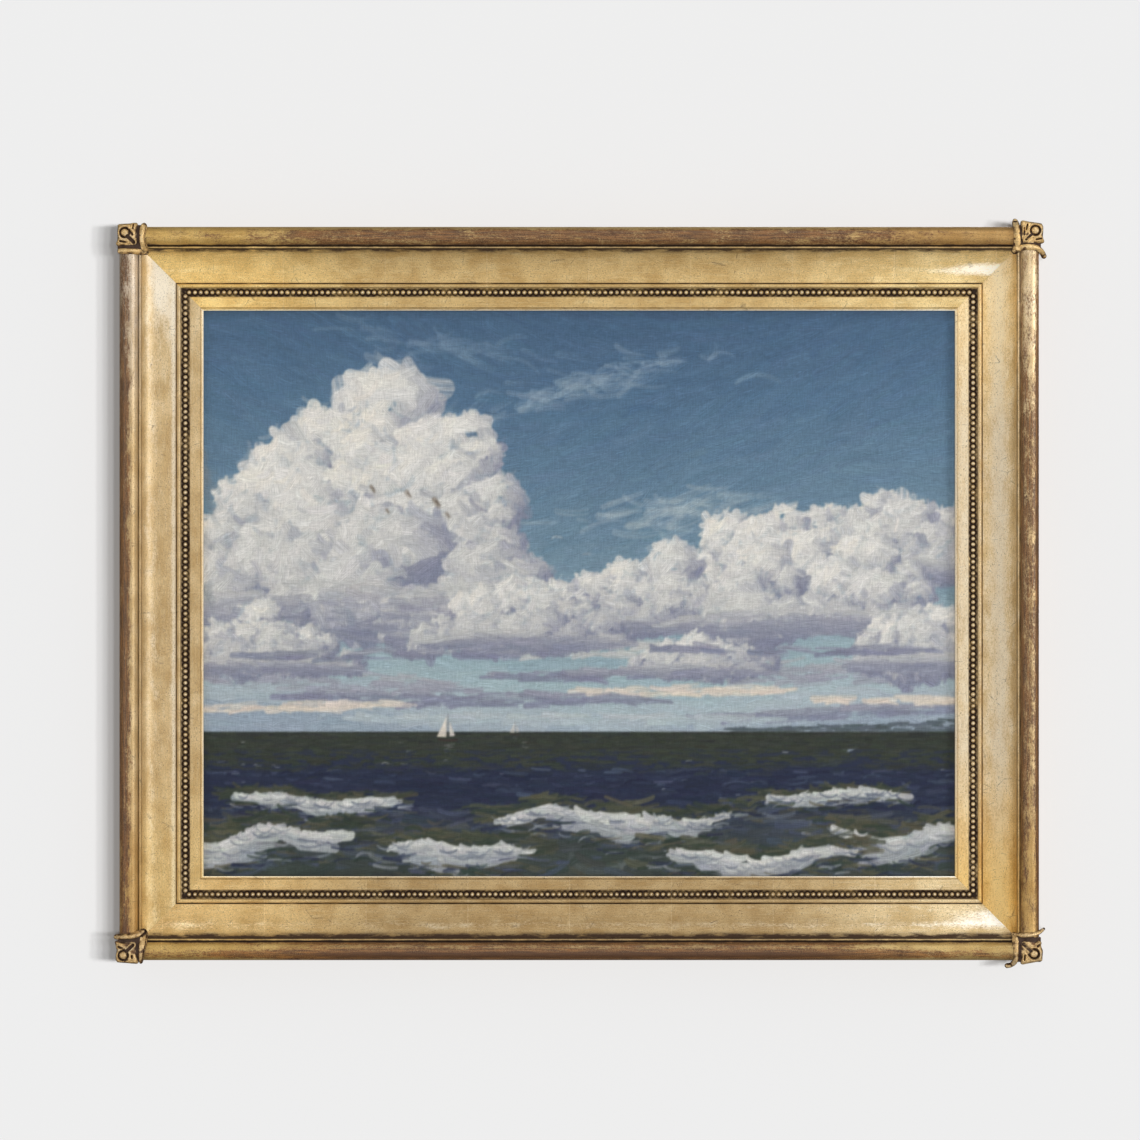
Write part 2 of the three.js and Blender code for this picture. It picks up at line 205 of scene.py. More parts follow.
class Graph:
    """A material's nodes, made by short calls that take numbers, colours and other nodes' values."""

    def __init__(self, name):
        self.material = bpy.data.materials.new(name)
        self.material.use_nodes = True
        self.tree = self.material.node_tree
        self.tree.nodes.clear()
        self.shader = self.tree.nodes.new("ShaderNodeBsdfPrincipled")
        self.output = self.tree.nodes.new("ShaderNodeOutputMaterial")
        self.tree.links.new(self.shader.outputs[0], self.output.inputs["Surface"])

    def feed(self, socket, value):
        if isinstance(value, Value):
            self.tree.links.new(value.socket, socket)
        elif isinstance(value, tuple) and socket.type == "RGBA":
            socket.default_value = (*value, 1)
        else:
            socket.default_value = value

    def made(self, kind, output, inputs, **settings):
        """One output of a new node, whose inputs are fed by name or by number."""
        node = self.tree.nodes.new(kind)
        for key, value in settings.items():
            setattr(node, key, value)
        for key, value in inputs.items():
            self.feed(node.inputs[key], value)
        return Value(self, node.outputs[output])

    def set(self, **sockets):
        for key, value in sockets.items():
            self.feed(self.shader.inputs[key.replace("_", " ")], value)

    def attribute(self, name, output="Fac"):
        return self.made("ShaderNodeAttribute", output, {}, attribute_name=name)

    def position(self):
        return self.made("ShaderNodeTexCoord", "Object", {})

    def math(self, operation, *values):
        return self.made("ShaderNodeMath", 0, dict(enumerate(values)), operation=operation)

    def most(self, first, *others):
        for other in others:
            first = self.math("MAXIMUM", first, other)
        return first

    def scaled(self, vector, scale):
        return self.made("ShaderNodeVectorMath", 0, {0: vector, 1: scale}, operation="MULTIPLY")

    def mix(self, amount, first, second, blend="MIX"):
        inputs = {0: amount, 6: first, 7: second}
        return self.made("ShaderNodeMix", 2, inputs, data_type="RGBA", blend_type=blend)

    def shaded(self, colour, shade):
        return self.mix(1.0, colour, shade, "MULTIPLY")

    def between(self, value, low, high, start=0.0, end=1.0):
        """Goes smoothly from start to end as the value goes from low to high."""
        inputs = dict(enumerate((value, low, high, start, end)))
        return self.made("ShaderNodeMapRange", 0, inputs, interpolation_type="SMOOTHSTEP")

    def noise(self, vector, scale, detail=2.0, roughness=0.5, output="Fac"):
        inputs = {"Vector": vector, "Scale": scale, "Detail": detail, "Roughness": roughness}
        return self.made("ShaderNodeTexNoise", output, inputs)

    def streaked(self, vector, scales, detail=2.0, roughness=0.5):
        """Noise of another scale along each axis."""
        return self.noise(self.scaled(vector, scales), 1.0, detail, roughness)

    def cells(self, vector, scale, feature="F1"):
        inputs = {"Vector": vector, "Scale": scale}
        return self.made("ShaderNodeTexVoronoi", "Distance", inputs, feature=feature)

    def bumped(self, height, distance):
        """The normal of a relief whose height of 1 is the distance, in metres."""
        return self.made("ShaderNodeBump", 0, {"Height": height, "Distance": distance})


GOLD = linear(212, 184, 136)
GOLD_LIGHT = linear(232, 212, 172)
GOLD_DEEP = linear(188, 156, 104)
BOLE = linear(136, 89, 42)
BOLE_DARK = linear(82, 49, 22)
UMBER = linear(60, 38, 20)
# Cream for painted highlights.
HIGHLIGHT_GOLD = linear(234, 217, 186)


def gilding_grain(g, place):
    """The noises that the gold, the bole and the dirt share."""
    return SimpleNamespace(
        blotches=g.noise(place, 0.055, 4),
        patches=g.streaked(place, (0.06, 0.14, 1.0), 5, 0.62),
        streaks=g.streaked(place, (0.05, 0.8, 1.0), 4, 0.6),
        mottle=g.streaked(place, (0.4, 0.8, 1.0), 5, 0.65),
        fine=g.noise(g.scaled(place, (1.0, 1.6, 1.0)), 1.3, 3, 0.65),
    )


def leaf_gold(g, place, grain):
    """The gold where it is whole: squares of leaf that lap, each a little lighter or darker."""
    gold = g.mix(g.between(grain.blotches, 0.3, 0.7), GOLD_DEEP, GOLD)
    gold = g.mix(g.between(grain.streaks, 0.45, 0.8, 0, 0.45), gold, GOLD_LIGHT)
    gold = g.mix(g.between(grain.patches, 0.5, 0.75, 0, 0.4), gold, GOLD_LIGHT)
    gold = g.shaded(gold, g.between(grain.fine, 0.3, 0.7, 0.79, 1.12))
    gold = g.shaded(gold, g.between(grain.mottle, 0.3, 0.7, 0.86, 1.09))
    # Painted light: each rail's gold made lighter or darker as a whole, besides its tint.
    gold = g.shaded(gold, g.attribute("tint", "Color"))

    along = g.made("ShaderNodeSeparateXYZ", "X", {0: place})
    which_side = g.made("ShaderNodeSeparateXYZ", "Z", {0: place})
    leaves = (along + FIRST_LAP) / LEAF_SIZE
    leaf = g.made("ShaderNodeCombineXYZ", 0, {0: g.math("FLOOR", leaves), 1: which_side})
    chance = g.made("ShaderNodeTexWhiteNoise", "Value", {"Vector": leaf}, noise_dimensions="2D")
    gold = g.shaded(gold, g.between(chance, 0.0, 1.0, 0.95, 1.03))
    lap = g.between(g.math("ABSOLUTE", g.math("FRACT", leaves) - 0.5), 0.493, 0.5, 0, 0.3)
    return g.mix(lap * g.between(grain.mottle, 0.35, 0.6), gold, GOLD_LIGHT)


def bare_bole(g, worn, grain):
    """The brown ground that shows where the gold is rubbed off, darkest where most is gone."""
    bole = g.mix(g.between(grain.streaks, 0.4, 0.62), BOLE_DARK, BOLE)
    bole = g.mix(g.between(grain.fine, 0.5, 0.68, 0, 0.7), bole, GOLD_DEEP)
    return g.mix(g.between(worn, 0.9, 1.3, 0, 0.8), bole, BOLE_DARK)


def dirt_and_painted_shade(g, place, grain):
    """How dark each place is: dirt and painted shade in the hollows, specks, scratches, grit and cracks."""
    blotched_dirt_and_shade = g.attribute("grime") * g.between(grain.patches, 0.3, 0.62, 0.6, 1.3) + (grain.mottle - 0.5) * 0.6
    speck_size = g.between(grain.blotches, 0.4, 0.7, 0.06, 0.19)
    specks = g.math("LESS_THAN", g.cells(g.scaled(place, (0.5, 0.9, 1.0)), 0.5), speck_size)
    specks = specks * g.between(grain.fine, 0.4, 0.6, 0, 0.8)
    scratches = g.between(g.streaked(place, (0.25, 2.4, 1.0), 3, 0.7), 0.62, 0.72, 0, 0.5)
    scratches = scratches * g.between(grain.patches, 0.4, 0.6)
    grit = g.between(g.noise(place, 1.1), 0.58, 0.66, 0, 0.55) * g.between(grain.streaks, 0.35, 0.55)
    crooked = g.mix(0.018, g.scaled(place, (0.055, 0.016, 1.0)), g.noise(place, 0.5, output="Color"))
    cracks = g.between(g.cells(crooked, 1.0, "DISTANCE_TO_EDGE"), 0.004, 0.012, 1, 0)
    cracks = cracks * g.between(grain.fine, 0.42, 0.56) * g.between(grain.patches, 0.5, 0.62, 0, 0.8)
    return g.most(g.between(blotched_dirt_and_shade, 0.25, 0.8), specks, scratches, grit, cracks)


def gilding_material():
    """Worn gold leaf: `place` is the point along the moulding and round its section, `worn` how far
    the gold is rubbed through, `grime` how dark it is with dirt and painted shade, `pale` how strong
    its painted highlights are, `tint` this rail's tint with painted light over the whole rail, and `tone`
    the painted light and tone of its whole surface, by the place along it."""
    g = Graph("worn_gilding")
    place = g.attribute("place", "Vector")
    worn = g.attribute("worn")
    grain = gilding_grain(g, place)
    uneven = (grain.patches - 0.5) * 1.1 + (grain.mottle - 0.5) * 1.2

    bole_amount = g.between(worn + uneven, 0.3, 0.7)
    # Painted highlights: a pale cream mixed over the gold.
    highlight_amount = g.between(g.attribute("pale") + uneven * 0.5, 0.35, 0.85)
    dark = dirt_and_painted_shade(g, place, grain)
    colour = g.mix(bole_amount, leaf_gold(g, place, grain), bare_bole(g, worn, grain))
    colour = g.mix(highlight_amount, colour, HIGHLIGHT_GOLD)
    # Painted light and tone: each rail lighter, darker or tinted towards its corners.
    colour = g.shaded(colour, g.attribute("tone", "Color"))
    # Umber over the gold: dirt, and painted shade in the hollows.
    colour = g.mix(dark, colour, UMBER)

    bare = g.most(bole_amount, highlight_amount, dark)
    roughness = g.between(grain.mottle, 0.3, 0.7, 0.4, 0.52) + dark * 0.25
    g.set(Base_Color=colour, Metallic=g.between(bare, 0.0, 1.0, 0.42, 0.05), Roughness=roughness)
    g.set(Normal=g.bumped(grain.mottle * 0.7 + grain.fine * 0.3, 0.00014))
    return g.material


def gild(piece, gilding, slot, node, place, worn, grime, pale, tint, tone=(1, 1, 1)):
    """Gives a gilded piece the values that its material reads, one for each of its points."""
    count = len(piece.data.vertices)
    add_vectors(piece, "place", place)
    for name, values in (("worn", worn), ("grime", grime), ("pale", pale)):
        add_values(piece, name, np.clip(np.broadcast_to(values, count), 0, 1.5))
    add_colours(piece, "tint", np.broadcast_to(tint, (count, 3)))
    add_colours(piece, "tone", np.broadcast_to(tone, (count, 3)))
    finish_piece(piece, gilding, slot, node)


def bare_wood_material(name, light, dark, grain):
    """Old bare wood with its grain along one axis: `grain` scales the object's own position."""
    g = Graph(name)
    place = g.position()
    rings = g.streaked(place, grain, 5, 0.62)
    fibres = g.streaked(place, tuple(4 * number for number in grain), 3, 0.6)
    colour = g.mix(g.between(rings, 0.35, 0.68), dark, light)
    colour = g.mix(g.between(fibres, 0.45, 0.75, 0, 0.35), colour, dark)
    colour = g.mix(g.between(g.noise(place, 9.0, 3), 0.5, 0.75, 0, 0.4), colour, dark)
    g.set(Base_Color=colour, Roughness=g.between(fibres, 0.3, 0.7, 0.72, 0.88))
    g.set(Normal=g.bumped(rings * 0.5 + fibres * 0.5, 0.0003))
    return g.material


def level_and_upright_wood(name, light, dark, along, across):
    """The wood of level and of upright pieces, from the scales of its grain along and across them."""
    level = bare_wood_material(f"{name}_level", light, dark, (along, across, across))
    upright = bare_wood_material(f"{name}_upright", light, dark, (across, across, along))
    return {"top": level, "bottom": level, "left": upright, "right": upright}


# ---- The sides of the frame ----

@dataclass
class Side:
    """One side of the frame. Its start is the corner at its left, seen with that side on top."""
    name: str
    start: tuple
    along: tuple
    inward: tuple
    length: float
    seed: int
    tint: tuple             # the tint of its gold, and painted light that makes the whole side lighter or darker
    quirk_dirt_and_shade: float           # how dark its quirks are: dirt and painted shade
    stains_and_shade: float           # how dark the cove's outer edge is: stains and painted shade
    wear: tuple             # how far the half-round's gold is gone, from its outer to its inner edge
    corner_wear: float      # how much of that wear reaches the corners
    pale: list              # pairs of (distance inward, how strong a painted highlight is there)
    highlight_at_ends: tuple        # how strong the painted highlights at the cove's start and end are besides
    torus_light_and_tones: list       # the painted light and tones of the half-round's start and end
    cove_light_and_tones: list        # the painted light and tones of the cove's start and end

    def place(self, distance, inward, height):
        """Points at a distance along the side, inward from its edge and out from the wall."""
        distance, inward, height = np.broadcast_arrays(distance, inward, height)
        points = self.start + distance[..., None] * self.along + inward[..., None] * self.inward
        points[..., 1] -= height
        return points


# Each side's tint is also painted light: the bottom darkest, the right lightest.
SIDES = [
    Side("top", (LEFT, 0.0, TOP), (1, 0, 0), (0, 0, -1), OUTER_WIDTH, seed=1,
         tint=(1.02, 0.98, 0.80), quirk_dirt_and_shade=0.95, stains_and_shade=0.70,
         wear=(0.15, 0.60, 0.68, 0.68, 0.64, 0.56, 0.66), corner_wear=0.42,
         pale=[(24, 0.0), (34, 0.3), (41, 0.05), (57, 0.2), (62, 0.1)], highlight_at_ends=(0.15, 0.7),
         torus_light_and_tones=[(1.10, 1.05, 0.82), (0.84, 0.72, 0.58)],
         cove_light_and_tones=[(1.45, 1.45, 1.26), (1.45, 1.58, 1.78)]),
    Side("right", (RIGHT, 0.0, TOP), (0, 0, -1), (-1, 0, 0), OUTER_HEIGHT, seed=2,
         tint=(1.10, 1.10, 1.08), quirk_dirt_and_shade=0.34, stains_and_shade=0.26,
         wear=(1.25, 0.62, 0.42, 0.50, 0.58, 0.58, 0.80), corner_wear=0.60,
         pale=[(18, 0.35), (24, 0.55), (30, 0.75), (36, 0.6), (42, 0.48), (47, 0.45), (56, 0.7), (62, 0.6)],
         highlight_at_ends=(0.1, 0.1),
         torus_light_and_tones=[(1.36, 1.47, 1.80), (0.84, 0.72, 0.48)],
         cove_light_and_tones=[(1.25, 1.19, 1.0), (1.08, 0.87, 0.43)]),
    Side("bottom", (RIGHT, 0.0, BOTTOM), (-1, 0, 0), (0, 0, 1), OUTER_WIDTH, seed=3,
         tint=(0.76, 0.72, 0.63), quirk_dirt_and_shade=0.95, stains_and_shade=0.90,
         wear=(0.6, 1.2, 1.35, 0.95, 0.48, 0.5, 0.82), corner_wear=0.40,
         pale=[(20, 0.1), (24, 0.36), (28, 0.45), (34, 0.15), (40, 0.3), (43, 0.38), (45, 0.0)],
         highlight_at_ends=(0.5, 0.1),
         torus_light_and_tones=[(1.38, 1.42, 1.24), (1.38, 1.32, 0.92)],
         cove_light_and_tones=[(1.72, 1.94, 2.40), (1.68, 1.67, 1.52)]),
    Side("left", (LEFT, 0.0, BOTTOM), (0, 0, 1), (1, 0, 0), OUTER_HEIGHT, seed=4,
         tint=(1.0, 0.99, 0.97), quirk_dirt_and_shade=0.26, stains_and_shade=0.10,
         wear=(0.60, 0.76, 0.72, 0.60, 0.30, 0.10, 0.20), corner_wear=0.75,
         pale=[(17, 0.2), (23, 0.5), (28, 0.42), (33, 0.3), (39, 0.35), (43, 0.85), (44.5, 0.3), (48, 0.2),
               (56, 0.1)],
         highlight_at_ends=(0.1, 0.75),
         torus_light_and_tones=[(0.86, 0.73, 0.49), (1.03, 1.16, 1.68)],
         cove_light_and_tones=[(1.08, 1.04, 0.82), (1.14, 1.20, 1.32)]),
]


# ---- Rails ----

MITRE_GAP = 0.05
STATION_PITCH = 4.5
EDGE_SOFTENING = 0.25
HEADROOM = 0.12                     # kept free over a rail, for its waves
WAVELENGTHS = (37, 61, 97, 150)
WAVE_HEIGHT = 0.035
MITRE_FADE = 30.0                   # the waves fade out over this distance from a mitre
HIGHLIGHT_FADE = 70.0                    # and a painted highlight at a cove's end over this one
COVE_MIDDLE = 33.0
LIGHT_AND_TONE_REACH = (0.08, 0.32)           # a corner's painted light and tone is full, and gone, at these shares of a side


def arc(centre, radii, start, end, steps):
    """Points along an arc of an ellipse, angles in degrees, both ends included."""
    angles = np.radians(np.linspace(start, end, steps + 1))
    return [(centre[0] + radii[0] * math.cos(a), centre[1] + radii[1] * math.sin(a)) for a in angles]


def softened(points, radius):
    """A closed outline with a small flat in place of each sharp corner."""
    result = []
    for i, point in enumerate(points):
        here = np.array(point)
        before = np.array(points[i - 1]) - here
        after = np.array(points[(i + 1) % len(points)]) - here
        lengths = np.linalg.norm(before), np.linalg.norm(after)
        straight = np.dot(before, after) / (lengths[0] * lengths[1]) < -0.9
        if straight:
            result.append(here)
        else:
            for step, length in zip((before, after), lengths):
                result.append(here + step / length * min(radius, 0.3 * length))
    return np.array(result)


def gilded_section():
    """The part of a rail's section that is gilded, from the side wall round to the sight edge."""
    torus_middle = TORUS_WIDTH / 2
    torus_height = CREST - TORUS_RISE
    overhang = 180 + math.degrees(math.acos((torus_middle - SIDE_WALL_INSET) / torus_middle))
    bead_fillet_middle = BEAD_FILLET_START + BEAD_FILLET_RADIUS
    bead_fillet_base = BEAD_FILLET_TOP - BEAD_FILLET_RADIUS
    return [
        *arc((torus_middle, torus_height), (torus_middle, TORUS_RISE), overhang, 0, 26),
        (TORUS_WIDTH, OUTER_QUIRK_HEIGHT),
        (FILLET_START, OUTER_QUIRK_HEIGHT),
        (FILLET_START, FILLET_HEIGHT),
        (FILLET_END, FILLET_HEIGHT),
        (FILLET_END, INNER_QUIRK_HEIGHT),
        (COVE_START, INNER_QUIRK_HEIGHT),
        *arc((COVE_END, COVE_TOP), (COVE_END - COVE_START, COVE_TOP - COVE_BOTTOM), 180, 270, 22),
        (COVE_END, BEAD_QUIRK_HEIGHT),
        (BEAD_FILLET_START, BEAD_QUIRK_HEIGHT),
        *arc((bead_fillet_middle, bead_fillet_base), (BEAD_FILLET_RADIUS, BEAD_FILLET_RADIUS), 180, 0, 9),
        (CHANNEL_START, CHANNEL_FLOOR),
        (CHANNEL_END, CHANNEL_FLOOR),
        (CHANNEL_END, FLAT_HEIGHT),
        (CHANNEL_END + 2.8, FLAT_HEIGHT + 0.05),
        (CHANNEL_END + 5.6, FLAT_HEIGHT + 0.05),
        (SIGHT_GROOVE_START, FLAT_HEIGHT),
        (SIGHT_GROOVE_START, SIGHT_GROOVE_HEIGHT),
        (SIGHT_GROOVE_END, SIGHT_GROOVE_HEIGHT),
        (SIGHT_GROOVE_END, FLAT_HEIGHT),
        (RAIL_WIDTH, SIGHT_EDGE_HEIGHT),
        (RAIL_WIDTH, REBATE_HEIGHT),
    ]


def bare_section():
    """The rest of the section, which isn't gilded: the rebate, the back and the side wall."""
    wall_top = CREST - TORUS_RISE
    return [
        (REBATE_START, REBATE_HEIGHT),
        (REBATE_START, 0),
        (SIDE_WALL_INSET, 0),
        (SIDE_WALL_INSET, 0.5 * wall_top),
    ]


def section_dirt_and_shade(inward, height, side):
    """How dark a point of a rail's section is made: dirt, and painted shade in its hollows."""
    # Dirt and painted shade in the quirks, at the half-round's foot, by the bead quirk, in the pearls'
    # channel and at its edge, and in the sight groove.
    outer_quirk = bump(inward, FILLET_START - 0.4, 0.42)
    inner_quirk = bump(inward, COVE_START - 0.25, 0.36)
    torus_foot = 0.62 * bump(inward, TORUS_WIDTH, 1.7)
    # Stains and painted shade on the cove's steep outer edge, under the fillet.
    stains_and_shade = (inward > FILLET_END) * bump(inward, COVE_START - 1, 3.0 + 2.4 * side.stains_and_shade)
    bead_quirk = (0.45 + 0.4 * side.quirk_dirt_and_shade) * bump(inward, COVE_END + 0.3, 0.5)
    in_channel = (inward > CHANNEL_START - 0.1) & (inward < CHANNEL_END + 0.1) & (height < FLAT_HEIGHT - 0.6)
    channel_edge = 0.5 * bump(inward, CHANNEL_START, 0.5)
    groove = (0.3 + 0.25 * side.quirk_dirt_and_shade) * bump(inward, SIGHT_GROOVE_START + 0.25, 0.4)
    # Painted shade under the half-round, on its outer side where it curls back to the side wall.
    painted_shade_under_torus = 0.4 * smoothstep(38, 33, height) * (inward < 6)
    return (side.quirk_dirt_and_shade * (outer_quirk + inner_quirk + torus_foot) + side.stains_and_shade * stains_and_shade
            + bead_quirk + in_channel + channel_edge + groove + painted_shade_under_torus)


def rail_wear(side, distance, inward, height):
    """How far a rail's gold is rubbed through: on the half-round, and a little on two edges."""
    to_corner = np.minimum(distance, side.length - distance) / side.length
    on_torus = smoothstep(TORUS_WIDTH + 0.2, TORUS_WIDTH - 0.5, inward) * (height > TORUS_UNDERSIDE)
    wear = np.interp(inward, np.linspace(0.5, 14, len(side.wear)), side.wear)
    reach = side.corner_wear + (1 - side.corner_wear) * smoothstep(0.06, 0.28, to_corner)
    edges = bump(inward, FLAT_START, 0.7) + bump(inward, SIGHT_GROOVE_START - 0.6, 0.6)
    return 0.06 + on_torus * wear * reach + 0.22 * edges * (height > REBATE_HEIGHT + 1)


def rail_highlights(side, distance, inward, height):
    """How strong a rail's painted highlights are: across its section, at the cove's ends and along the sight
    edge.
    """
    across, amounts = zip(*side.pale)
    pale = np.interp(inward, across, amounts) * (inward > FILLET_START)
    at_start = smoothstep(HIGHLIGHT_FADE, 0, distance - inward)
    at_end = smoothstep(HIGHLIGHT_FADE, 0, side.length - distance - inward)
    ends = side.highlight_at_ends[0] * at_start + side.highlight_at_ends[1] * at_end
    pale = pale + bump(inward, COVE_MIDDLE, 6.5) * ends
    sight_edge = smoothstep(RAIL_WIDTH - 1.0, RAIL_WIDTH - 0.4, inward)
    return np.maximum(pale, sight_edge) * (height > REBATE_HEIGHT + 1)


def rail_light_and_tone(side, distance, inward):
    """The painted light and tone of a rail's surface: 1 in its middle, and its own towards each corner."""
    in_cove = smoothstep(TORUS_WIDTH + 0.3, COVE_START + 0.6, inward)[..., None]
    tone = np.ones(distance.shape + (3,))
    for k, from_end in enumerate((distance, side.length - distance)):
        near = smoothstep(LIGHT_AND_TONE_REACH[1], LIGHT_AND_TONE_REACH[0], from_end / side.length)[..., None]
        torus, cove = np.array(side.torus_light_and_tones[k]), np.array(side.cove_light_and_tones[k])
        tone = tone + near * (torus + (cove - torus) * in_cove - 1)
    return tone


def uneven_surface(side, distance, inward, height):
    """How far hand work departs from the true section, fading out at the back and in the mitres."""
    rng = np.random.default_rng(side.seed)
    waves = np.zeros_like(distance)
    for wavelength in WAVELENGTHS:
        along, across = rng.uniform(0, 2 * math.pi, 2)
        waves += WAVE_HEIGHT * np.sin(2 * math.pi * (distance / wavelength) + along + inward / 9 + across)
    from_start = smoothstep(0, MITRE_FADE, distance - inward)
    from_end = smoothstep(0, MITRE_FADE, side.length - distance - inward)
    is_front = height > REBATE_HEIGHT + 0.5
    return (waves - HEADROOM) * is_front * from_start * from_end


def tube_faces(rows, columns):
    """Quads round a tube of vertices stored row by row, and a face over each of its ends."""
    first = np.arange(rows - 1)[:, None] * columns
    corner = first + np.arange(columns)
    following = first + (np.arange(columns) + 1) % columns
    faces = np.stack([corner, following, following + columns, corner + columns], axis=-1)
    ends = [list(range(columns)), list(range((rows - 1) * columns, rows * columns))[::-1]]
    return faces.reshape(-1, 4).tolist() + ends


def rail_piece(side, gilding, bare_wood):
    """A whole rail with its mitred ends: gilded in front, and bare wood at its side and back."""
    section = softened(gilded_section() + bare_section(), EDGE_SOFTENING)
    inward, height = section.T
    station = np.linspace(0, 1, round(side.length / STATION_PITCH) + 1)[:, None]
    distance = (inward + MITRE_GAP) + station * (side.length - 2 * inward - 2 * MITRE_GAP)
    points = side.place(distance, inward, height + uneven_surface(side, distance, inward, height))
    rows, columns = distance.shape
    piece = build_mesh(f"gilded_rail_{side.name}", points.reshape(-1, 3), tube_faces(rows, columns), 42)

    round_section = np.concatenate([[0], np.cumsum(np.linalg.norm(np.diff(section, axis=0), axis=1))])
    place = np.stack(np.broadcast_arrays(distance, round_section, 10.0 * side.seed), axis=-1)
    grime = section_dirt_and_shade(inward, height, side) + 0 * distance
    gild(piece, gilding, "gilt_rail", f"rail_{side.name}", place.reshape(-1, 3),
         rail_wear(side, distance, inward, height).ravel(), grime.ravel(),
         rail_highlights(side, distance, inward, height).ravel(), side.tint,
         rail_light_and_tone(side, distance, inward).reshape(-1, 3))

    piece.data.materials.append(bare_wood)
    on_side_wall = (inward < SIDE_WALL_INSET + 0.1) & (height < CREST - TORUS_RISE - 4)
    is_bare = (height < REBATE_HEIGHT - 0.5) | on_side_wall
    face_is_bare = is_bare & np.roll(is_bare, -1)
    material_index = np.concatenate([np.tile(face_is_bare, rows - 1), [True, True]])
    piece.data.polygons.foreach_set("material_index", material_index.astype(np.int32))


# ---- Pearls ----

PEARL_SEGMENTS = 12
PEARL_RINGS = 6
STRIP_PITCH = BEAD_PITCH / 6
STRIP_STEPS = 12
LIP_HEIGHT = 2.2


def pearl_places(side):
    """How far along its side each pearl is. None sits in a corner, where two strings meet."""
    first = BEAD_LINE + 0.66 * BEAD_PITCH
    span = side.length - 2 * first
    return first + np.linspace(0, span, round(span / BEAD_PITCH) + 1)


def pearl_points(centre, rng):
    """One pearl as rings of (distance, inward, height), slightly out of round."""
    polar = np.radians(np.linspace(0, 110, PEARL_RINGS + 1))[1:]
    turn = np.linspace(0, 2 * math.pi, PEARL_SEGMENTS, endpoint=False)
    radius = BEAD_RADIUS * (1 + 0.03 * rng.standard_normal(2))
    ring = np.sin(polar)[:, None]
    distance = centre + radius[0] * ring * np.cos(turn)
    inward = BEAD_LINE + radius[1] * ring * np.sin(turn)
    height = BEAD_CENTRE_HEIGHT + BEAD_RADIUS * np.cos(polar)[:, None] + 0 * turn
    top = [[centre, BEAD_LINE, BEAD_CENTRE_HEIGHT + BEAD_RADIUS]]
    rings = np.stack([distance, inward, height], axis=-1).reshape(-1, 3)
    return np.concatenate([top, rings])


def pearl_faces(first):
    faces = []
    for k in range(PEARL_SEGMENTS):
        after = (k + 1) % PEARL_SEGMENTS
        faces.append([first, first + 1 + after, first + 1 + k])
        for ring in range(PEARL_RINGS - 1):
            a = first + 1 + ring * PEARL_SEGMENTS
            b = a + PEARL_SEGMENTS
            faces.append([a + k, a + after, b + after, b + k])
    return faces


def pearl_strip(side, centres):
    """The strip under the pearls, with lips scalloped round them, and how high its lips stand."""
    inward = np.linspace(CHANNEL_START + 0.05, CHANNEL_END - 0.05, STRIP_STEPS + 1)[:, None]
    station = np.linspace(0, 1, round((side.length - 2 * BEAD_LINE) / STRIP_PITCH) + 1)[None, :]
    distance = inward + station * (side.length - 2 * inward)
    pitch = centres[1] - centres[0]
    phase = (distance - centres[0]) / pitch
    from_pearl = (phase - np.round(phase)) * pitch
    gap = np.hypot(from_pearl, inward - BEAD_LINE) - BEAD_RADIUS
    lip = smoothstep(0.35, 1.5, gap) * smoothstep(1.0, 2.6, np.abs(inward - BEAD_LINE))
    return np.stack([distance, inward + 0 * distance, CHANNEL_FLOOR + 0.3 + LIP_HEIGHT * lip], axis=-1), lip


def pearl_course(side, gilding):
    """A string of round pearls on its strip, with painted shade between and under the pearls and painted
    highlights on their tops.
    """
    rng = np.random.default_rng(40 + side.seed)
    centres = pearl_places(side)
    pearls = np.stack([pearl_points(centre, rng) for centre in centres])
    count, points_each, _ = pearls.shape
    faces = [face for k in range(count) for face in pearl_faces(k * points_each)]
    pearls = pearls.reshape(-1, 3)
    on_top = (pearls[:, 2] - BEAD_CENTRE_HEIGHT) / BEAD_RADIUS
    strip, lip = pearl_strip(side, centres)
    strip_faces = grid_faces(*lip.shape, len(pearls))[:, ::-1]

    local = np.concatenate([pearls, strip.reshape(-1, 3)])
    piece = build_mesh(f"pearls_{side.name}", side.place(*local.T), faces + strip_faces.tolist(), 80)
    place = local * (1, 1, 0) + (0, 0, 10.0 * side.seed + 5)
    # Painted shade on the pearls' lower sides and in the strip's low places, and painted highlights on the
    # pearls' tops.
    grime = np.concatenate([0.95 * smoothstep(0.8, 0.25, on_top), 0.76 - 0.25 * lip.ravel()])
    pale = np.concatenate([0.7 * smoothstep(0.72, 0.97, on_top), np.zeros(lip.size)])
    gild(piece, gilding, "gilt_pearls", f"bead_course_{side.name}", place, 0.15, grime, pale, side.tint)


# ---- Corner caps ----

CAP_PITCH = 0.28
CAP_LOW = -9.0
CAP_HIGH = 30.0
BLOCK_BASE = 34.5
BLOCK_FACE = 47.2
CAP_TOP = 48.8
CHANNEL_FACE = 44.6
STRAP_INNER_END = 20.6
STRAP_RISE = 2.0
STRAP_OVERHANG = 3.6
STRAP_CROWN = 2.2
STRAP_SHOULDER = 17.0
STRAP_INNER_HEIGHT = 35.5
BOSS_RADIUS = 2.7
GROOVE_RADIUS = 3.7                 # of the groove round the boss
RING_RADIUS = 5.1
# Painted light: the caps' gold made lighter all over.
CAP_LIGHT_AND_TINT = (1.36, 1.34, 1.32)


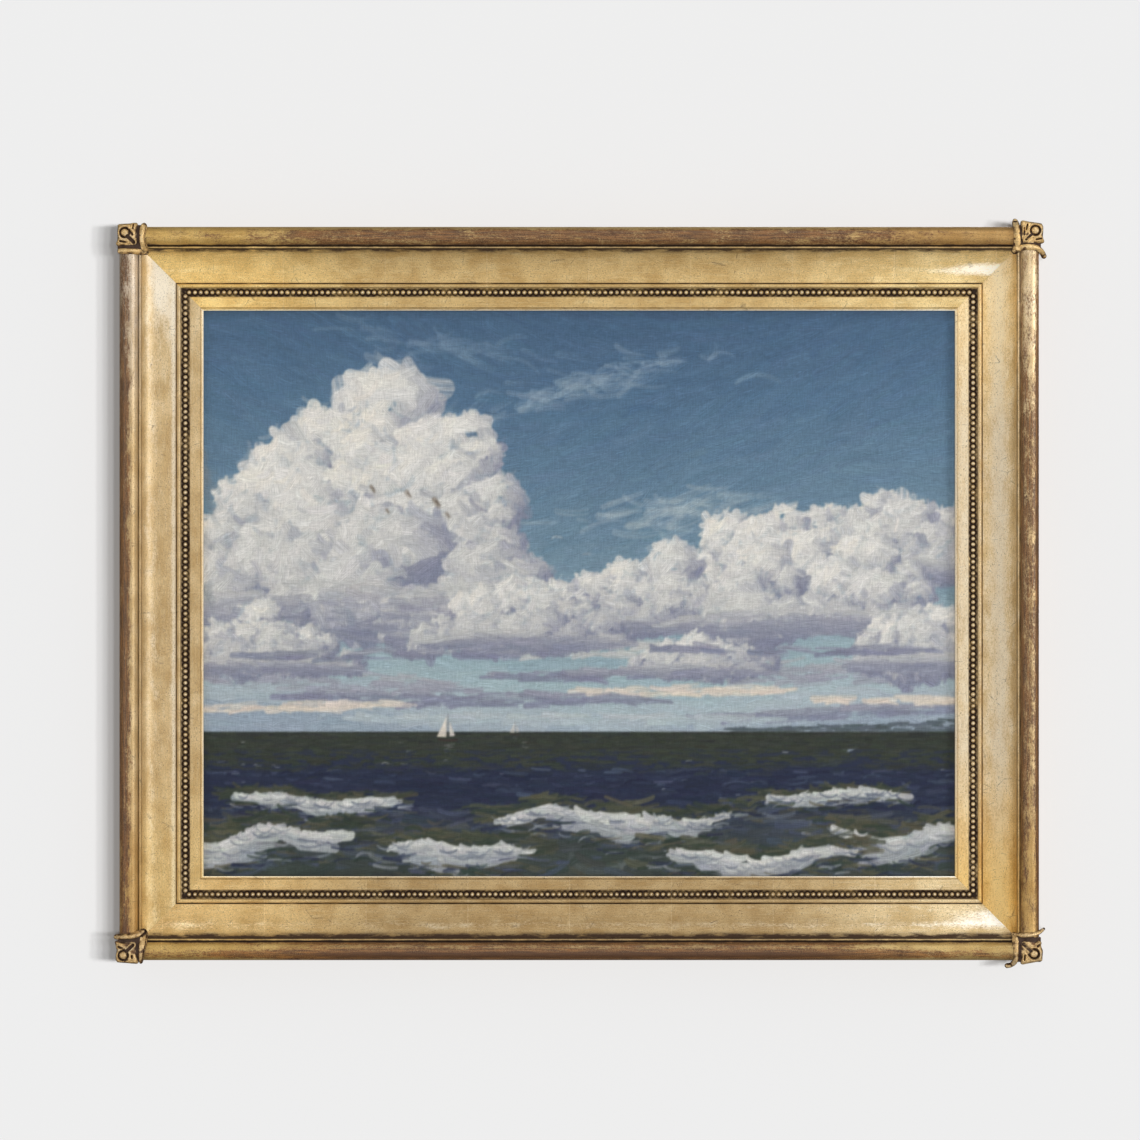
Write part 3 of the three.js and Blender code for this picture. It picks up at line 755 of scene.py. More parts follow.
@dataclass
class Corner:
    """One of the four caps. All its places are (p, q) pairs. A strap's route has at each point the
    distance along the rail that it crosses, the distance in across it, and half its width."""
    name: str
    right: int          # 1 at the right, -1 at the left
    up: int             # 1 at the top, -1 at the bottom
    block: list         # the block's outline
    eye: tuple          # the ring's middle
    slot: tuple         # the keyhole slot's two ends, and half its width
    cuts: list          # more marks like the slot
    level: list         # the route of the strap over the level rail
    upright: list       # and of the one over the upright rail, with p and q exchanged
    ridge: float        # how strong the thin second ridge beside a strap is
    web: float          # how far the hollow between the two straps is filled

    @property
    def x(self):
        return RIGHT if self.right > 0 else LEFT

    @property
    def z(self):
        return TOP if self.up > 0 else BOTTOM

    def place(self, p, q, height):
        return np.stack([self.x - self.right * p, -height, self.z - self.up * q], axis=-1)


CORNERS = [
    Corner("top_left", -1, 1,
           [(-0.8, -1.4), (3.5, -2.2), (8.0, -2.4), (12.0, -3.0), (14.4, -2.4), (14.0, 2.0), (13.8, 8.0),
            (13.8, 13.4), (9.0, 14.6), (3.0, 15.0), (-0.8, 15.2), (-2.5, 13.6), (-1.3, 10.0), (-1.3, 3.0)],
           (4.4, 4.7), ((6.7, 7.8), (11.4, 12.3), 1.15),
           [((8.6, 2.6), (10.4, 6.4), 0.7), ((11.2, -1.6), (10.8, 1.6), 0.5),
            ((0.6, 11.4), (6.0, 12.6), 0.6)],
           [(21.6, 20.4, 1.2), (20.3, 17.4, 2.5), (18.8, 13.0, 2.5), (18.2, 8.5, 2.2), (18.8, 3.5, 2.8),
            (19.3, 0.6, 2.8), (19.6, -1.2, 1.9)],
           [(20.6, 19.4, 1.3), (20.0, 16.0, 2.2), (19.5, 10.5, 2.2), (19.4, 4.5, 2.3), (19.3, 0.8, 2.2)],
           0.8, 2.2),
    Corner("top_right", 1, 1,
           [(-2.0, -2.2), (3.0, -3.2), (8.5, -4.0), (13.6, -4.8), (14.6, -2.0), (13.9, 4.0), (13.4, 12.0),
            (9.0, 12.8), (3.6, 12.8), (-2.0, 13.2), (-3.9, 11.8), (-2.8, 8.4), (-3.0, 4.0), (-3.0, 0.0)],
           (3.2, 3.0), ((6.6, 6.6), (10.6, 10.2), 0.5),
           [((9.4, -1.8), (10.4, 2.2), 0.5), ((11.8, 1.0), (12.0, 6.4), 0.5),
            ((-1.6, 9.4), (2.4, 10.2), 0.5)],
           [(19.3, 18.4, 2.2), (17.6, 13.0, 2.9), (17.8, 6.0, 2.6), (18.1, 0.0, 2.7), (18.6, -3.4, 2.5),
            (19.0, -5.0, 1.6)],
           [(19.0, 18.8, 2.1), (16.6, 13.6, 2.4), (16.2, 7.0, 2.4), (17.2, 1.4, 2.3), (20.2, -2.3, 2.1),
            (23.0, -4.0, 2.1)],
           0.5, 2.5),
    Corner("bottom_right", 1, -1,
           [(-2.3, 0.2), (0.6, -0.8), (4.0, -1.5), (9.0, -2.4), (13.6, -3.2), (14.6, -1.0), (14.2, 6.0),
            (13.8, 14.2), (9.0, 14.8), (3.6, 14.6), (0.4, 15.6), (-1.7, 14.2), (-1.4, 11.4), (-2.8, 7.0)],
           (4.1, 5.2), ((7.0, 7.8), (12.6, 13.0), 1.15),
           [((9.6, 7.2), (8.0, 4.2), 1.0), ((1.4, 11.2), (-0.6, 12.6), 0.7), ((11.8, 0.4), (11.4, 4.0), 0.5)],
           [(20.4, 20.4, 1.4), (18.9, 15.5, 2.6), (18.6, 10.0, 2.2), (18.4, 4.5, 2.0), (19.2, -0.9, 2.0),
            (22.0, -3.8, 1.9), (25.0, -4.4, 2.0)],
           [(20.2, 18.6, 1.3), (20.0, 12.9, 1.8), (20.4, 5.6, 1.8), (22.0, 0.2, 1.5), (24.6, -3.9, 1.1)],
           0.5, 1.5),
    Corner("bottom_left", -1, -1,
           [(-1.4, -1.4), (5.5, -2.0), (11.0, -2.5), (14.6, -2.4), (14.6, 0.6), (13.6, 6.0), (13.0, 14.0),
            (8.0, 14.6), (2.0, 14.4), (-3.0, 15.2), (-3.0, 12.4), (-1.9, 8.2), (-2.6, 4.5), (-2.6, 0.2)],
           (3.2, 4.0), ((5.9, 7.4), (10.9, 12.2), 0.9),
           [((-0.6, 10.8), (4.2, 8.6), 0.75), ((10.2, 2.0), (10.0, 3.6), 0.7),
            ((4.4, -0.8), (6.8, 0.6), 0.5)],
           [(19.6, 22.0, 1.2), (19.6, 19.4, 2.6), (18.9, 13.6, 3.0), (18.1, 8.2, 2.7), (17.6, 2.7, 2.1),
            (17.0, -1.4, 1.3)],
           [(22.8, 18.4, 1.3), (20.6, 14.2, 2.4), (19.4, 9.2, 2.3), (19.0, 2.4, 2.2), (18.4, -2.6, 1.9)],
           0.9, 5.0),
]


def outline_distance(p, q, outline):
    """The distance to a closed outline, less than 0 inside it."""
    away = np.full(p.shape, np.inf)
    inside = np.zeros(p.shape, bool)
    for start, end in zip(outline, np.roll(outline, -1, axis=0)):
        away = np.minimum(away, segment_distance(p, q, start, end)[0])
        beside = (start[1] > q) != (end[1] > q)
        if start[1] != end[1]:
            crossing = start[0] + (q - start[1]) * (end[0] - start[0]) / (end[1] - start[1])
            inside ^= beside & (p < crossing)
    return np.where(inside, -away, away)


def square_distance(p, q, low, high, radius):
    """The distance to a square with rounded corners, less than 0 inside it."""
    middle = (low + high) / 2
    half = (high - low) / 2 - radius
    dp = np.abs(p - middle) - half
    dq = np.abs(q - middle) - half
    return np.hypot(np.maximum(dp, 0), np.maximum(dq, 0)) + np.minimum(np.maximum(dp, dq), 0) - radius


def segment_distance(p, q, start, end):
    """The distance to a straight line between two points, and how far along it the nearest point is."""
    start = np.array(start, float)
    line = np.array(end) - start
    t = np.clip(((p - start[0]) * line[0] + (q - start[1]) * line[1]) / np.dot(line, line), 0, 1)
    return np.hypot(p - start[0] - t * line[0], q - start[1] - t * line[1]), t


def smooth_curve(points, count):
    """Points evenly spread on a smooth curve through the given ones (Catmull-Rom)."""
    points = np.array(points, float)
    padded = np.concatenate([[2 * points[0] - points[1]], points, [2 * points[-1] - points[-2]]])
    places = np.linspace(0, len(points) - 1.001, count)
    i = places.astype(int)
    t = (places - i)[:, None]
    a, b, c, d = (padded[i + k] for k in range(4))
    return 0.5 * (2 * b + (c - a) * t + (2 * a - 5 * b + 4 * c - d) * t ** 2
                  + (3 * b - a - 3 * c + d) * t ** 3)


def strap_back(inward):
    """The height of a strap's back over the rail that it crosses."""
    middle = TORUS_WIDTH / 2
    base = CREST - TORUS_RISE

    def arch(distance):
        across = (distance - middle) / (middle + STRAP_OVERHANG)
        return base + (TORUS_RISE + STRAP_RISE) * np.sqrt(np.maximum(0, 1 - across ** 2))

    past = np.clip((inward - STRAP_SHOULDER) / (STRAP_INNER_END + 2 - STRAP_SHOULDER), 0, 1)
    down = arch(STRAP_SHOULDER) + (STRAP_INNER_HEIGHT - arch(STRAP_SHOULDER)) * past
    return np.where(inward < STRAP_SHOULDER, arch(inward), down)


def strap_form(p, q, route, ridge):
    """A strap over the level rail: the distance to it and its height. Its section is a main roll
    with a thin second one beside it, as far as `ridge` says."""
    route = smooth_curve(route, 70)
    line = route[:, :2]
    half_width = route[:, 2]
    tangent = np.gradient(line, axis=0)
    tangent /= np.linalg.norm(tangent, axis=1)[:, None]
    offsets = np.stack([p.ravel(), q.ravel()], axis=1)[:, None, :] - line[None, :, :]
    distances = np.linalg.norm(offsets, axis=2)
    nearest = np.argmin(distances - half_width, axis=1)
    rows = np.arange(len(nearest))
    away = distances[rows, nearest] - half_width[nearest]
    offset = offsets[rows, nearest]
    across = -(offset[:, 0] * tangent[nearest, 1] - offset[:, 1] * tangent[nearest, 0]) / half_width[nearest]
    past_end = distances[rows, nearest] / half_width[nearest] * ((nearest == 0) | (nearest == len(line) - 1))

    roll = 1 - 0.22 * ridge
    from_middle = np.maximum(np.abs((across + 1 - roll) / roll), past_end)
    main = np.sqrt(np.clip(1 - from_middle ** 2, 0, 1))
    second = ridge * bump(across, 0.80, 0.14)
    height = strap_back(line[nearest, 1]) - 1.9 + STRAP_CROWN * np.maximum(main, 0.85 * second)
    return away.reshape(p.shape), height.reshape(p.shape)


def joined(first, second, radius):
    """The distance to two forms together, with a rounded hollow where they meet."""
    closeness = np.clip(0.5 + 0.5 * (second - first) / radius, 0, 1)
    return second + (first - second) * closeness - radius * closeness * (1 - closeness)


def block_form(p, q, corner):
    """The lobed block over the very corner, with its eye, its slot and a few more cuts."""
    closed = corner.block[-1:] + corner.block + corner.block[:1]
    away = outline_distance(p, q, smooth_curve(closed, 90)[6:-6])

    eye_distance = np.hypot(p - corner.eye[0], q - corner.eye[1])
    *slot_ends, slot_width = corner.slot
    slot_distance, _ = segment_distance(p, q, *slot_ends)
    ring = bump(eye_distance, RING_RADIUS, 0.8) * (1 - bump(slot_distance, 0, 1.5))
    ring_groove = bump(eye_distance, GROOVE_RADIUS, 0.85)
    boss = np.sqrt(np.clip(1 - (eye_distance / BOSS_RADIUS) ** 2, 0, 1))
    slot_groove = smoothstep(slot_width + 0.7, slot_width - 0.2, slot_distance)
    lips = bump(slot_distance, slot_width + 0.9, 0.6)
    cuts = np.zeros_like(p)
    for start, end, width in corner.cuts:
        cut_distance, _ = segment_distance(p, q, start, end)
        cuts = np.maximum(cuts, smoothstep(width + 0.4, width - 0.4, cut_distance))
        lips = np.maximum(lips, 0.7 * bump(cut_distance, width + 0.8, 0.5))

    slope = 0.08 * np.maximum(0, np.maximum(p, q) - 6) + 0.12 * np.maximum(0, -np.minimum(p, q))
    height = BLOCK_FACE - slope + 0.9 * np.maximum(ring, lips) + 1.4 * boss
    height -= 2.0 * ring_groove * (1 - 0.9 * boss) + 2.8 * slot_groove + 1.5 * cuts
    height -= 1.8 * smoothstep(-1.6, 0.1, away)
    # Painted shade: the carved slot, ring groove and cuts are made dark.
    carved = np.maximum(1.3 * slot_groove, np.maximum(0.9 * ring_groove * (1 - boss), 0.6 * cuts))
    return away, height, carved


def cap_form(corner, p, q):
    """The whole cap: the distance to its outline, its height, and where shade is painted in it."""
    block, block_height, carved = block_form(p, q, corner)
    level, level_height = strap_form(p, q, corner.level, corner.ridge)
    upright, upright_height = strap_form(q, p, corner.upright, corner.ridge)
    either_strap = np.minimum(level, upright)
    straps = np.where(np.maximum(p, q) > 16, joined(level, upright, corner.web), either_strap)
    channel = square_distance(p, q, -1.2, 18.4, 0.5)
    forms = [
        (block, block_height),
        (channel, CHANNEL_FACE + 0 * p),
        (straps, np.where(level < upright, level_height, upright_height)),
        (level, level_height),
        (upright, upright_height),
    ]
    height = np.full_like(p, BLOCK_BASE)
    for distance, form_height in forms:
        height = np.where(distance < 0.05, np.maximum(height, form_height), height)
    height = np.maximum(height, rail_surface(p, q) + 0.2)
    away = np.minimum.reduce([form[0] for form in forms])
    # Painted shade in the channel round the block and in its carved grooves.
    in_channel = np.minimum(block, either_strap) > -0.15
    recess_shade = np.maximum(1.5 * in_channel, carved * (block < 0) * (straps > 0))
    return away, np.minimum(height, CAP_TOP), recess_shade


def rail_surface(p, q):
    """The height of the rails under a cap, or of the caps' base beside them."""
    inward = np.minimum(p, q)
    torus_middle = TORUS_WIDTH / 2
    on_torus = np.clip(1 - ((inward - torus_middle) / torus_middle) ** 2, 0, 1)
    torus = CREST - TORUS_RISE + TORUS_RISE * np.sqrt(on_torus)
    cove_radius = COVE_END - COVE_START
    in_cove = np.clip(1 - ((COVE_END - inward) / cove_radius) ** 2, 0, 1)
    cove = COVE_TOP - (COVE_TOP - COVE_BOTTOM) * np.sqrt(in_cove)
    over_rail = np.where(inward < TORUS_WIDTH, torus, np.where(inward < COVE_START, INNER_QUIRK_HEIGHT, cove))
    return np.where(inward < 0.2, BLOCK_BASE, over_rail + 0.1)


def shell_between(top, bottom, faces):
    """Closes two matching sheets of points into one shell, with walls round their edge."""
    used = np.unique(faces)
    renumbered = np.full(len(top), -1)
    renumbered[used] = np.arange(len(used))
    faces = renumbered[faces]
    count = len(used)
    edges = np.concatenate([faces[:, [k, (k + 1) % 4]] for k in range(4)])
    is_rim = ~np.isin(edges[:, 0] * count + edges[:, 1], edges[:, 1] * count + edges[:, 0])
    rim = edges[is_rim]
    walls = np.stack([rim[:, 1], rim[:, 0], rim[:, 0] + count, rim[:, 1] + count], axis=1)
    points = np.concatenate([top[used], bottom[used]])
    return points, np.concatenate([faces, faces[:, ::-1] + count, walls]), used


def blurred(values, radius, passes=2):
    """The values of a grid averaged over a square round each, several times over."""
    for _ in range(passes):
        for axis in (0, 1):
            total = sum(np.roll(values, shift, axis) for shift in range(-radius, radius + 1))
            values = total / (2 * radius + 1)
    return values


def cap_sheet(corner, rng):
    """A cap as a sheet of points over a square grid, the ones by its outline moved onto it: their
    places, which of them are used, their height, and where shade is painted."""
    line = np.arange(CAP_LOW, CAP_HIGH, CAP_PITCH)
    p, q = np.meshgrid(line, line, indexing="ij")
    away, _, _ = cap_form(corner, p, q)
    slope_p, slope_q = np.gradient(away, CAP_PITCH)
    steepness = np.maximum(slope_p ** 2 + slope_q ** 2, 0.25)
    near_rim = np.abs(away) < 0.6 * CAP_PITCH
    p = p - np.where(near_rim, away * slope_p / steepness, 0)
    q = q - np.where(near_rim, away * slope_q / steepness, 0)
    _, height, recess_shade = cap_form(corner, p, q)
    height = height + 0.16 * blurred(rng.standard_normal(height.shape), 1)
    height = height + 2.0 * blurred(rng.standard_normal(height.shape), 5)
    height = np.clip(height, rail_surface(p, q) + 0.1, CAP_TOP)
    return p, q, away, (away < 0) | near_rim, height, recess_shade


def corner_cap(corner, gilding):
    """A whole cap, with painted shade in its hollows and painted highlights where it stands proud."""
    rng = np.random.default_rng(70 + int(corner.x > 0) + 2 * int(corner.up > 0))
    p, q, away, inside, height, recess_shade = cap_sheet(corner, rng)
    faces = grid_faces(*p.shape)
    faces = faces[inside.ravel()[faces].all(axis=1)]
    if corner.right * corner.up < 0:
        faces = faces[:, ::-1]
    base = np.minimum(rail_surface(p, q), height - 0.2)
    sheets = [corner.place(p, q, level).reshape(-1, 3) for level in (height, base)]
    points, shell, used = shell_between(*sheets, faces)
    piece = build_mesh(f"cap_{corner.name}", points, shell, 60)

    # Painted shade in the hollows and painted highlights where the cap stands proud, with a random mottle.
    around = blurred(height * inside, 5) / np.maximum(blurred(1.0 * inside, 5), 0.01)
    hollow = smoothstep(0.05, 0.9, around - height) * (0.1 + 0.9 * smoothstep(0.2, 1.8, -away))
    proud = smoothstep(0.0, 0.8, height - around)
    mottle = 1.3 * blurred(rng.standard_normal(height.shape), 4)
    grime = np.maximum(0.32 + 0.9 * hollow - 0.5 * proud + mottle, recess_shade * (0.85 + mottle))
    worn = 0.34 + 0.12 * (corner.up < 0) + 2 * mottle - 0.3 * proud
    grime, worn, pale = (values.ravel()[used] for values in (grime, worn, 0.48 * proud))
    place = np.stack([p.ravel(), q.ravel(), np.full(p.size, 3.0 * corner.x)], axis=1)[used]
    tint = CAP_LIGHT_AND_TINT * np.mean([side.tint for side in SIDES if side.name in corner.name], axis=0)
    gild(piece, gilding, "gilt_caps", f"corner_cap_{corner.name}",
         np.concatenate([place, place + (0, 0, 9)]), np.concatenate([worn, worn]),
         np.concatenate([grime, np.full(len(grime), 0.15)]), np.concatenate([pale, 0 * pale]), tint)


# ---- Canvas and stretcher ----

CANVAS_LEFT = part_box("canvas")[0].x / MM
CANVAS_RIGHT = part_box("canvas")[1].x / MM
CANVAS_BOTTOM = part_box("canvas")[0].z / MM
CANVAS_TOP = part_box("canvas")[1].z / MM
CANVAS_FRONT = -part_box("canvas")[0].y / MM
CANVAS_BACK = -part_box("canvas")[1].y / MM
CANVAS_WIDTH = CANVAS_RIGHT - CANVAS_LEFT
CANVAS_HEIGHT = CANVAS_TOP - CANVAS_BOTTOM
TURNED_MARGIN = 16.0
LINEN_FOLD = 0.8
LINEN_EDGE = 12.0                   # how much of the front is made with the sides
LINEN_STEPS = 60


def linen_material():
    """Raw linen, as the canvas's back shows it: a plain weave with uneven threads."""
    g = Graph("raw_linen")
    place = g.position()
    weave = g.most(g.streaked(place, (1300, 1300, 170), 3), g.streaked(place, (170, 1300, 1300), 3))
    colour = g.mix(g.between(weave, 0.4, 0.7), linear(128, 108, 80), linear(186, 164, 130))
    colour = g.mix(g.between(g.noise(place, 7.0, 4), 0.48, 0.72, 0, 0.45), colour, linear(120, 94, 62))
    g.set(Base_Color=colour, Roughness=0.95)
    g.set(Normal=g.bumped(weave, 0.0004))
    return g.material


def linen_side(start, along, across, length, rng):
    """One side of the linen, as rows of points from its front round to its margin on the back."""
    section = [
        (CANVAS_FRONT - 0.9, LINEN_EDGE),
        (CANVAS_FRONT - 0.9, LINEN_EDGE / 2),
        (CANVAS_FRONT - 0.5, LINEN_FOLD),
        (CANVAS_FRONT - 0.5 - LINEN_FOLD, 0.1),
        (CANVAS_BACK + LINEN_FOLD, 0.1),
        (CANVAS_BACK + 0.1, LINEN_FOLD),
        (CANVAS_BACK + 0.1, TURNED_MARGIN / 2),
        (CANVAS_BACK + 0.2, TURNED_MARGIN),
    ]
    height, inward = np.array(section).T
    raggedness = rng.uniform(-0.8, 0.8, (LINEN_STEPS + 1, 1))
    ragged = inward + np.where(inward == TURNED_MARGIN, raggedness, 0)
    distance = ragged + np.linspace(0, 1, LINEN_STEPS + 1)[:, None] * (length - 2 * ragged)
    x = start[0] + distance * along[0] + ragged * across[0]
    z = start[1] + distance * along[1] + ragged * across[1]
    return np.stack([x, -height + 0 * x, z], axis=-1)


def linen_piece(material):
    """The linen: its front under the paint, its sides, and the margins turned onto the back."""
    rng = np.random.default_rng(11)
    x = np.linspace(CANVAS_LEFT + LINEN_EDGE, CANVAS_RIGHT - LINEN_EDGE, LINEN_STEPS + 1)
    z = np.linspace(CANVAS_TOP - LINEN_EDGE, CANVAS_BOTTOM + LINEN_EDGE, LINEN_STEPS + 1)
    x, z = np.meshgrid(x, z)
    grids = [
        linen_side((CANVAS_LEFT, CANVAS_TOP), (1, 0), (0, -1), CANVAS_WIDTH, rng),
        linen_side((CANVAS_RIGHT, CANVAS_TOP), (0, -1), (-1, 0), CANVAS_HEIGHT, rng),
        linen_side((CANVAS_RIGHT, CANVAS_BOTTOM), (-1, 0), (0, 1), CANVAS_WIDTH, rng),
        linen_side((CANVAS_LEFT, CANVAS_BOTTOM), (0, 1), (1, 0), CANVAS_HEIGHT, rng),
        np.stack([x, 0.9 - CANVAS_FRONT + 0 * x, z], axis=-1),
    ]
    points = np.empty((0, 3))
    faces = []
    for grid in grids:
        faces += grid_faces(*grid.shape[:2], len(points)).tolist()
        points = np.concatenate([points, grid.reshape(-1, 3)])
    piece = build_mesh("linen", points, faces, 70)
    finish_piece(piece, material, "painted_linen", "canvas")


def finish_stretcher():
    """Bare softwood on the four bars of the CAD model, with the grain along each."""
    wood = level_and_upright_wood("softwood", linear(196, 158, 108), linear(150, 108, 64), 6, 90)
    for side in SIDES:
        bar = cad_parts[f"stretcher_bar_{side.name}"]
        bar.data.materials.clear()
        bar.data.materials.append(wood[side.name])


# ---- The picture: a seascape in oils, laid down stroke by stroke ----
#
# Places on the picture are in millimetres from the sight's top left corner, x to the right and y down.

HORIZON = 0.744 * SIGHT_HEIGHT
PAINT_MARGIN = 3.0                  # of paint that goes on under the frame
DOTS_PER_MM = 2                     # of the sheet that the strokes are laid on
BRISTLE_TABLE = 512

ZENITH = (70, 98, 127)
UPPER_BLUE = (84, 114, 141)
MIDDLE_BLUE = (106, 134, 154)
AZURE = (132, 156, 168)
TURQUOISE = (160, 181, 187)
HAZE = (172, 184, 190)
HORIZON_GREY = (150, 164, 178)
WARM_WHITE = (232, 226, 214)
WHITE = (222, 220, 215)
LIGHT_GREY = (192, 192, 190)
MAUVE_GREY = (154, 156, 168)
VIOLET_GREY = (128, 132, 152)
CREAM = (220, 207, 192)
OLIVE_GREEN = (52, 58, 48)
NAVY = (34, 42, 66)
SLATE = (70, 80, 102)
DEEP_GREEN = (40, 53, 45)
OLIVE_BROWN = (92, 88, 68)
FOAM = (208, 208, 203)
FOAM_GREY = (152, 157, 162)


def blend(first, second, amount):
    return np.array(first, float) * (1 - amount) + np.array(second, float) * amount


def tone_at(place, stops):
    """The colour at a place along a list of (place, colour) stops."""
    places = [stop[0] for stop in stops]
    return np.array([np.interp(place, places, [stop[1][k] for stop in stops]) for k in range(3)])


SKY_STOPS = [
    (0.0, ZENITH),
    (0.16, UPPER_BLUE),
    (0.36, MIDDLE_BLUE),
    (0.52, AZURE),
    (0.64, TURQUOISE),
    (0.70, HAZE),
    (0.744, HORIZON_GREY),
]
GROUND_STOPS = SKY_STOPS + [(0.745, OLIVE_GREEN), (0.80, NAVY), (0.87, NAVY), (1.0, DEEP_GREEN)]


class Painting:
    """The colour and relief of the paint. Strokes are laid over what is there already."""

    def __init__(self, seed):
        self.rng = np.random.default_rng(seed)
        columns = round((SIGHT_WIDTH + 2 * PAINT_MARGIN) * DOTS_PER_MM)
        rows = round((SIGHT_HEIGHT + 2 * PAINT_MARGIN) * DOTS_PER_MM)
        levels = (np.arange(rows) / DOTS_PER_MM - PAINT_MARGIN) / SIGHT_HEIGHT
        ground = np.array([tone_at(level, GROUND_STOPS) for level in levels])
        self.colour = np.repeat(ground[:, None, :], columns, axis=1)
        self.relief = np.full((rows, columns), 0.08)
        self.grain = np.zeros((rows, columns, 2))
        noise = self.rng.standard_normal(BRISTLE_TABLE)
        soft = (noise + np.roll(noise, 1) + np.roll(noise, 2)) / 3
        self.bristles = np.clip(soft * 1.1, -1, 1)

    def stroke(self, x, y, angle, length, width, colour, bend=0.0, dry=0.35, body=1.0, opacity=1.0):
        """One stroke about (x, y), `angle` in degrees clockwise from the right. `bend` is how far
        its ends turn aside, `dry` how much it breaks up, and `body` how thick the paint is."""
        turn = math.radians(angle)
        ahead = np.array([math.cos(turn), math.sin(turn)])
        reach = (length / 2 + abs(bend)) * np.abs(ahead) + width / 2 + abs(bend)
        middle = np.array([x, y]) + PAINT_MARGIN
        left, top = np.maximum(0, np.floor((middle - reach) * DOTS_PER_MM)).astype(int)
        right, bottom = np.maximum(0, np.ceil((middle + reach) * DOTS_PER_MM)).astype(int)
        window = (slice(top, bottom), slice(left, right))
        rows, columns = self.relief[window].shape
        dx = ((left + np.arange(columns) + 0.5) / DOTS_PER_MM - PAINT_MARGIN - x)[None, :]
        dy = ((top + np.arange(rows) + 0.5) / DOTS_PER_MM - PAINT_MARGIN - y)[:, None]
        along = dx * ahead[0] + dy * ahead[1]
        across = dy * ahead[0] - dx * ahead[1] - bend * (2 * along / length) ** 2
        past_end = np.maximum(0, np.abs(along) - (length - width) / 2)
        from_line = np.hypot(past_end, across) / (width / 2)
        edge = np.clip((1 - from_line) * width, 0, 1)
        if not edge.any():
            return
        offset = self.rng.integers(BRISTLE_TABLE)
        bristle = self.bristles[(across * 3.3 + offset).astype(int) % BRISTLE_TABLE]
        lift = dry * (0.55 + along / length + 0.75 * bristle)
        cover = opacity * edge * np.clip(1.1 - lift, 0, 1)
        paint = np.array(colour, float) * (1 + 0.035 * bristle[..., None])
        self.colour[window] += cover[..., None] * (paint - self.colour[window])
        thickness = body * (0.10 + 0.07 * bristle + 0.10 * bump(from_line, 0.8, 0.18))
        self.relief[window] += cover * (thickness - 0.8 * self.relief[window])
        on_top = cover > 0.45
        self.grain[window][on_top] = np.stack([along, across + 7.0 * offset], axis=-1)[on_top]

    def vary(self, colour, amount=5):
        """The colour, a little lighter or darker and a little warmer or cooler."""
        shift = self.rng.normal(0, amount) + self.rng.normal(0, 0.35 * amount, 3)
        return np.clip(np.array(colour, float) + shift, 0, 255)



def paint_sky(painting):
    """Long soft strokes, darker at the top, that lean a little one way and then the other."""
    rng = painting.rng
    for scale, count, dry in ((1.6, 700, 0.1), (1.0, 1500, 0.45), (0.7, 1300, 0.7)):
        for _ in range(count):
            x = rng.uniform(-10, SIGHT_WIDTH + 10)
            y = rng.uniform(-8, HORIZON + 4)
            level = y / SIGHT_HEIGHT + 0.03 * math.sin(x / 90 + 1.2) + rng.normal(0, 0.012)
            colour = painting.vary(tone_at(level, SKY_STOPS), 2.2)
            low_sky = smoothstep(0.25, 0.7, y / SIGHT_HEIGHT)
            angle = (1 - low_sky) * 26 * math.sin(x / 130 + y / 70) + rng.normal(0, 9)
            length = scale * rng.uniform(26, 52)
            painting.stroke(x, y, angle, length, scale * rng.uniform(6, 9), colour,
                            rng.normal(0, 2), dry, 0.55, 0.75)


def paint_veil(painting, x, y, length, lean, count, tone):
    """A thin veil of cloud: pale dry strokes scattered along a line."""
    rng = painting.rng
    for _ in range(count):
        along = rng.normal(0, 0.3)
        px = x + along * length * math.cos(math.radians(lean)) + rng.normal(0, 5)
        py = y + along * length * math.sin(math.radians(lean)) + rng.normal(0, 7)
        painting.stroke(px, py, lean + rng.normal(0, 14), rng.uniform(16, 38), rng.uniform(3, 7),
                        painting.vary(tone, 3), rng.normal(0, 3), 0.9, 0.5, 0.32)


def paint_band(painting, x, y, length, depth, tone, strokes, lean=0.0):
    """A long low bank of cloud, thickest in its middle and thinning out to its ends."""
    rng = painting.rng
    for _ in range(strokes):
        along = rng.uniform(-1, 1)
        half_depth = depth / 2 * (1 - along ** 2) ** 0.5
        offset = rng.uniform(-1, 1)
        px = x + along * length / 2
        py = y + offset * half_depth + along * length / 2 * math.tan(math.radians(lean))
        lit = blend(tone, LIGHT_GREY, 0.35 * smoothstep(0.3, -1, offset))
        painting.stroke(px, py, lean + rng.normal(0, 5), rng.uniform(14, 34), rng.uniform(2.5, 5.5),
                        painting.vary(lit, 4), rng.normal(0, 1), 0.5, 0.8, 0.8)


CLOUD_STOPS = [
    (-0.55, VIOLET_GREY),
    (-0.2, MAUVE_GREY),
    (0.1, (178, 179, 184)),
    (0.4, (203, 202, 198)),
    (0.7, WHITE),
    (1.0, WARM_WHITE),
]


PUFF_PASSES = (
    # strokes, and more for each mm of radius; nearest and furthest out; length and width as shares
    # of the radius; opacity, body, and the spread of their light
    (5, 0.25, 0.85, 1.15, 0.8, 0.16, 0.35, 0.5, 0.05),
    (9, 0.7, 0.0, 0.9, 1.3, 0.42, 0.85, 0.8, 0.06),
    (12, 1.3, 0.2, 1.0, 0.85, 0.22, 0.7, 1.2, 0.09),
    (4, 0.5, 0.3, 0.95, 0.5, 0.15, 0.85, 2.0, 0.12),
)


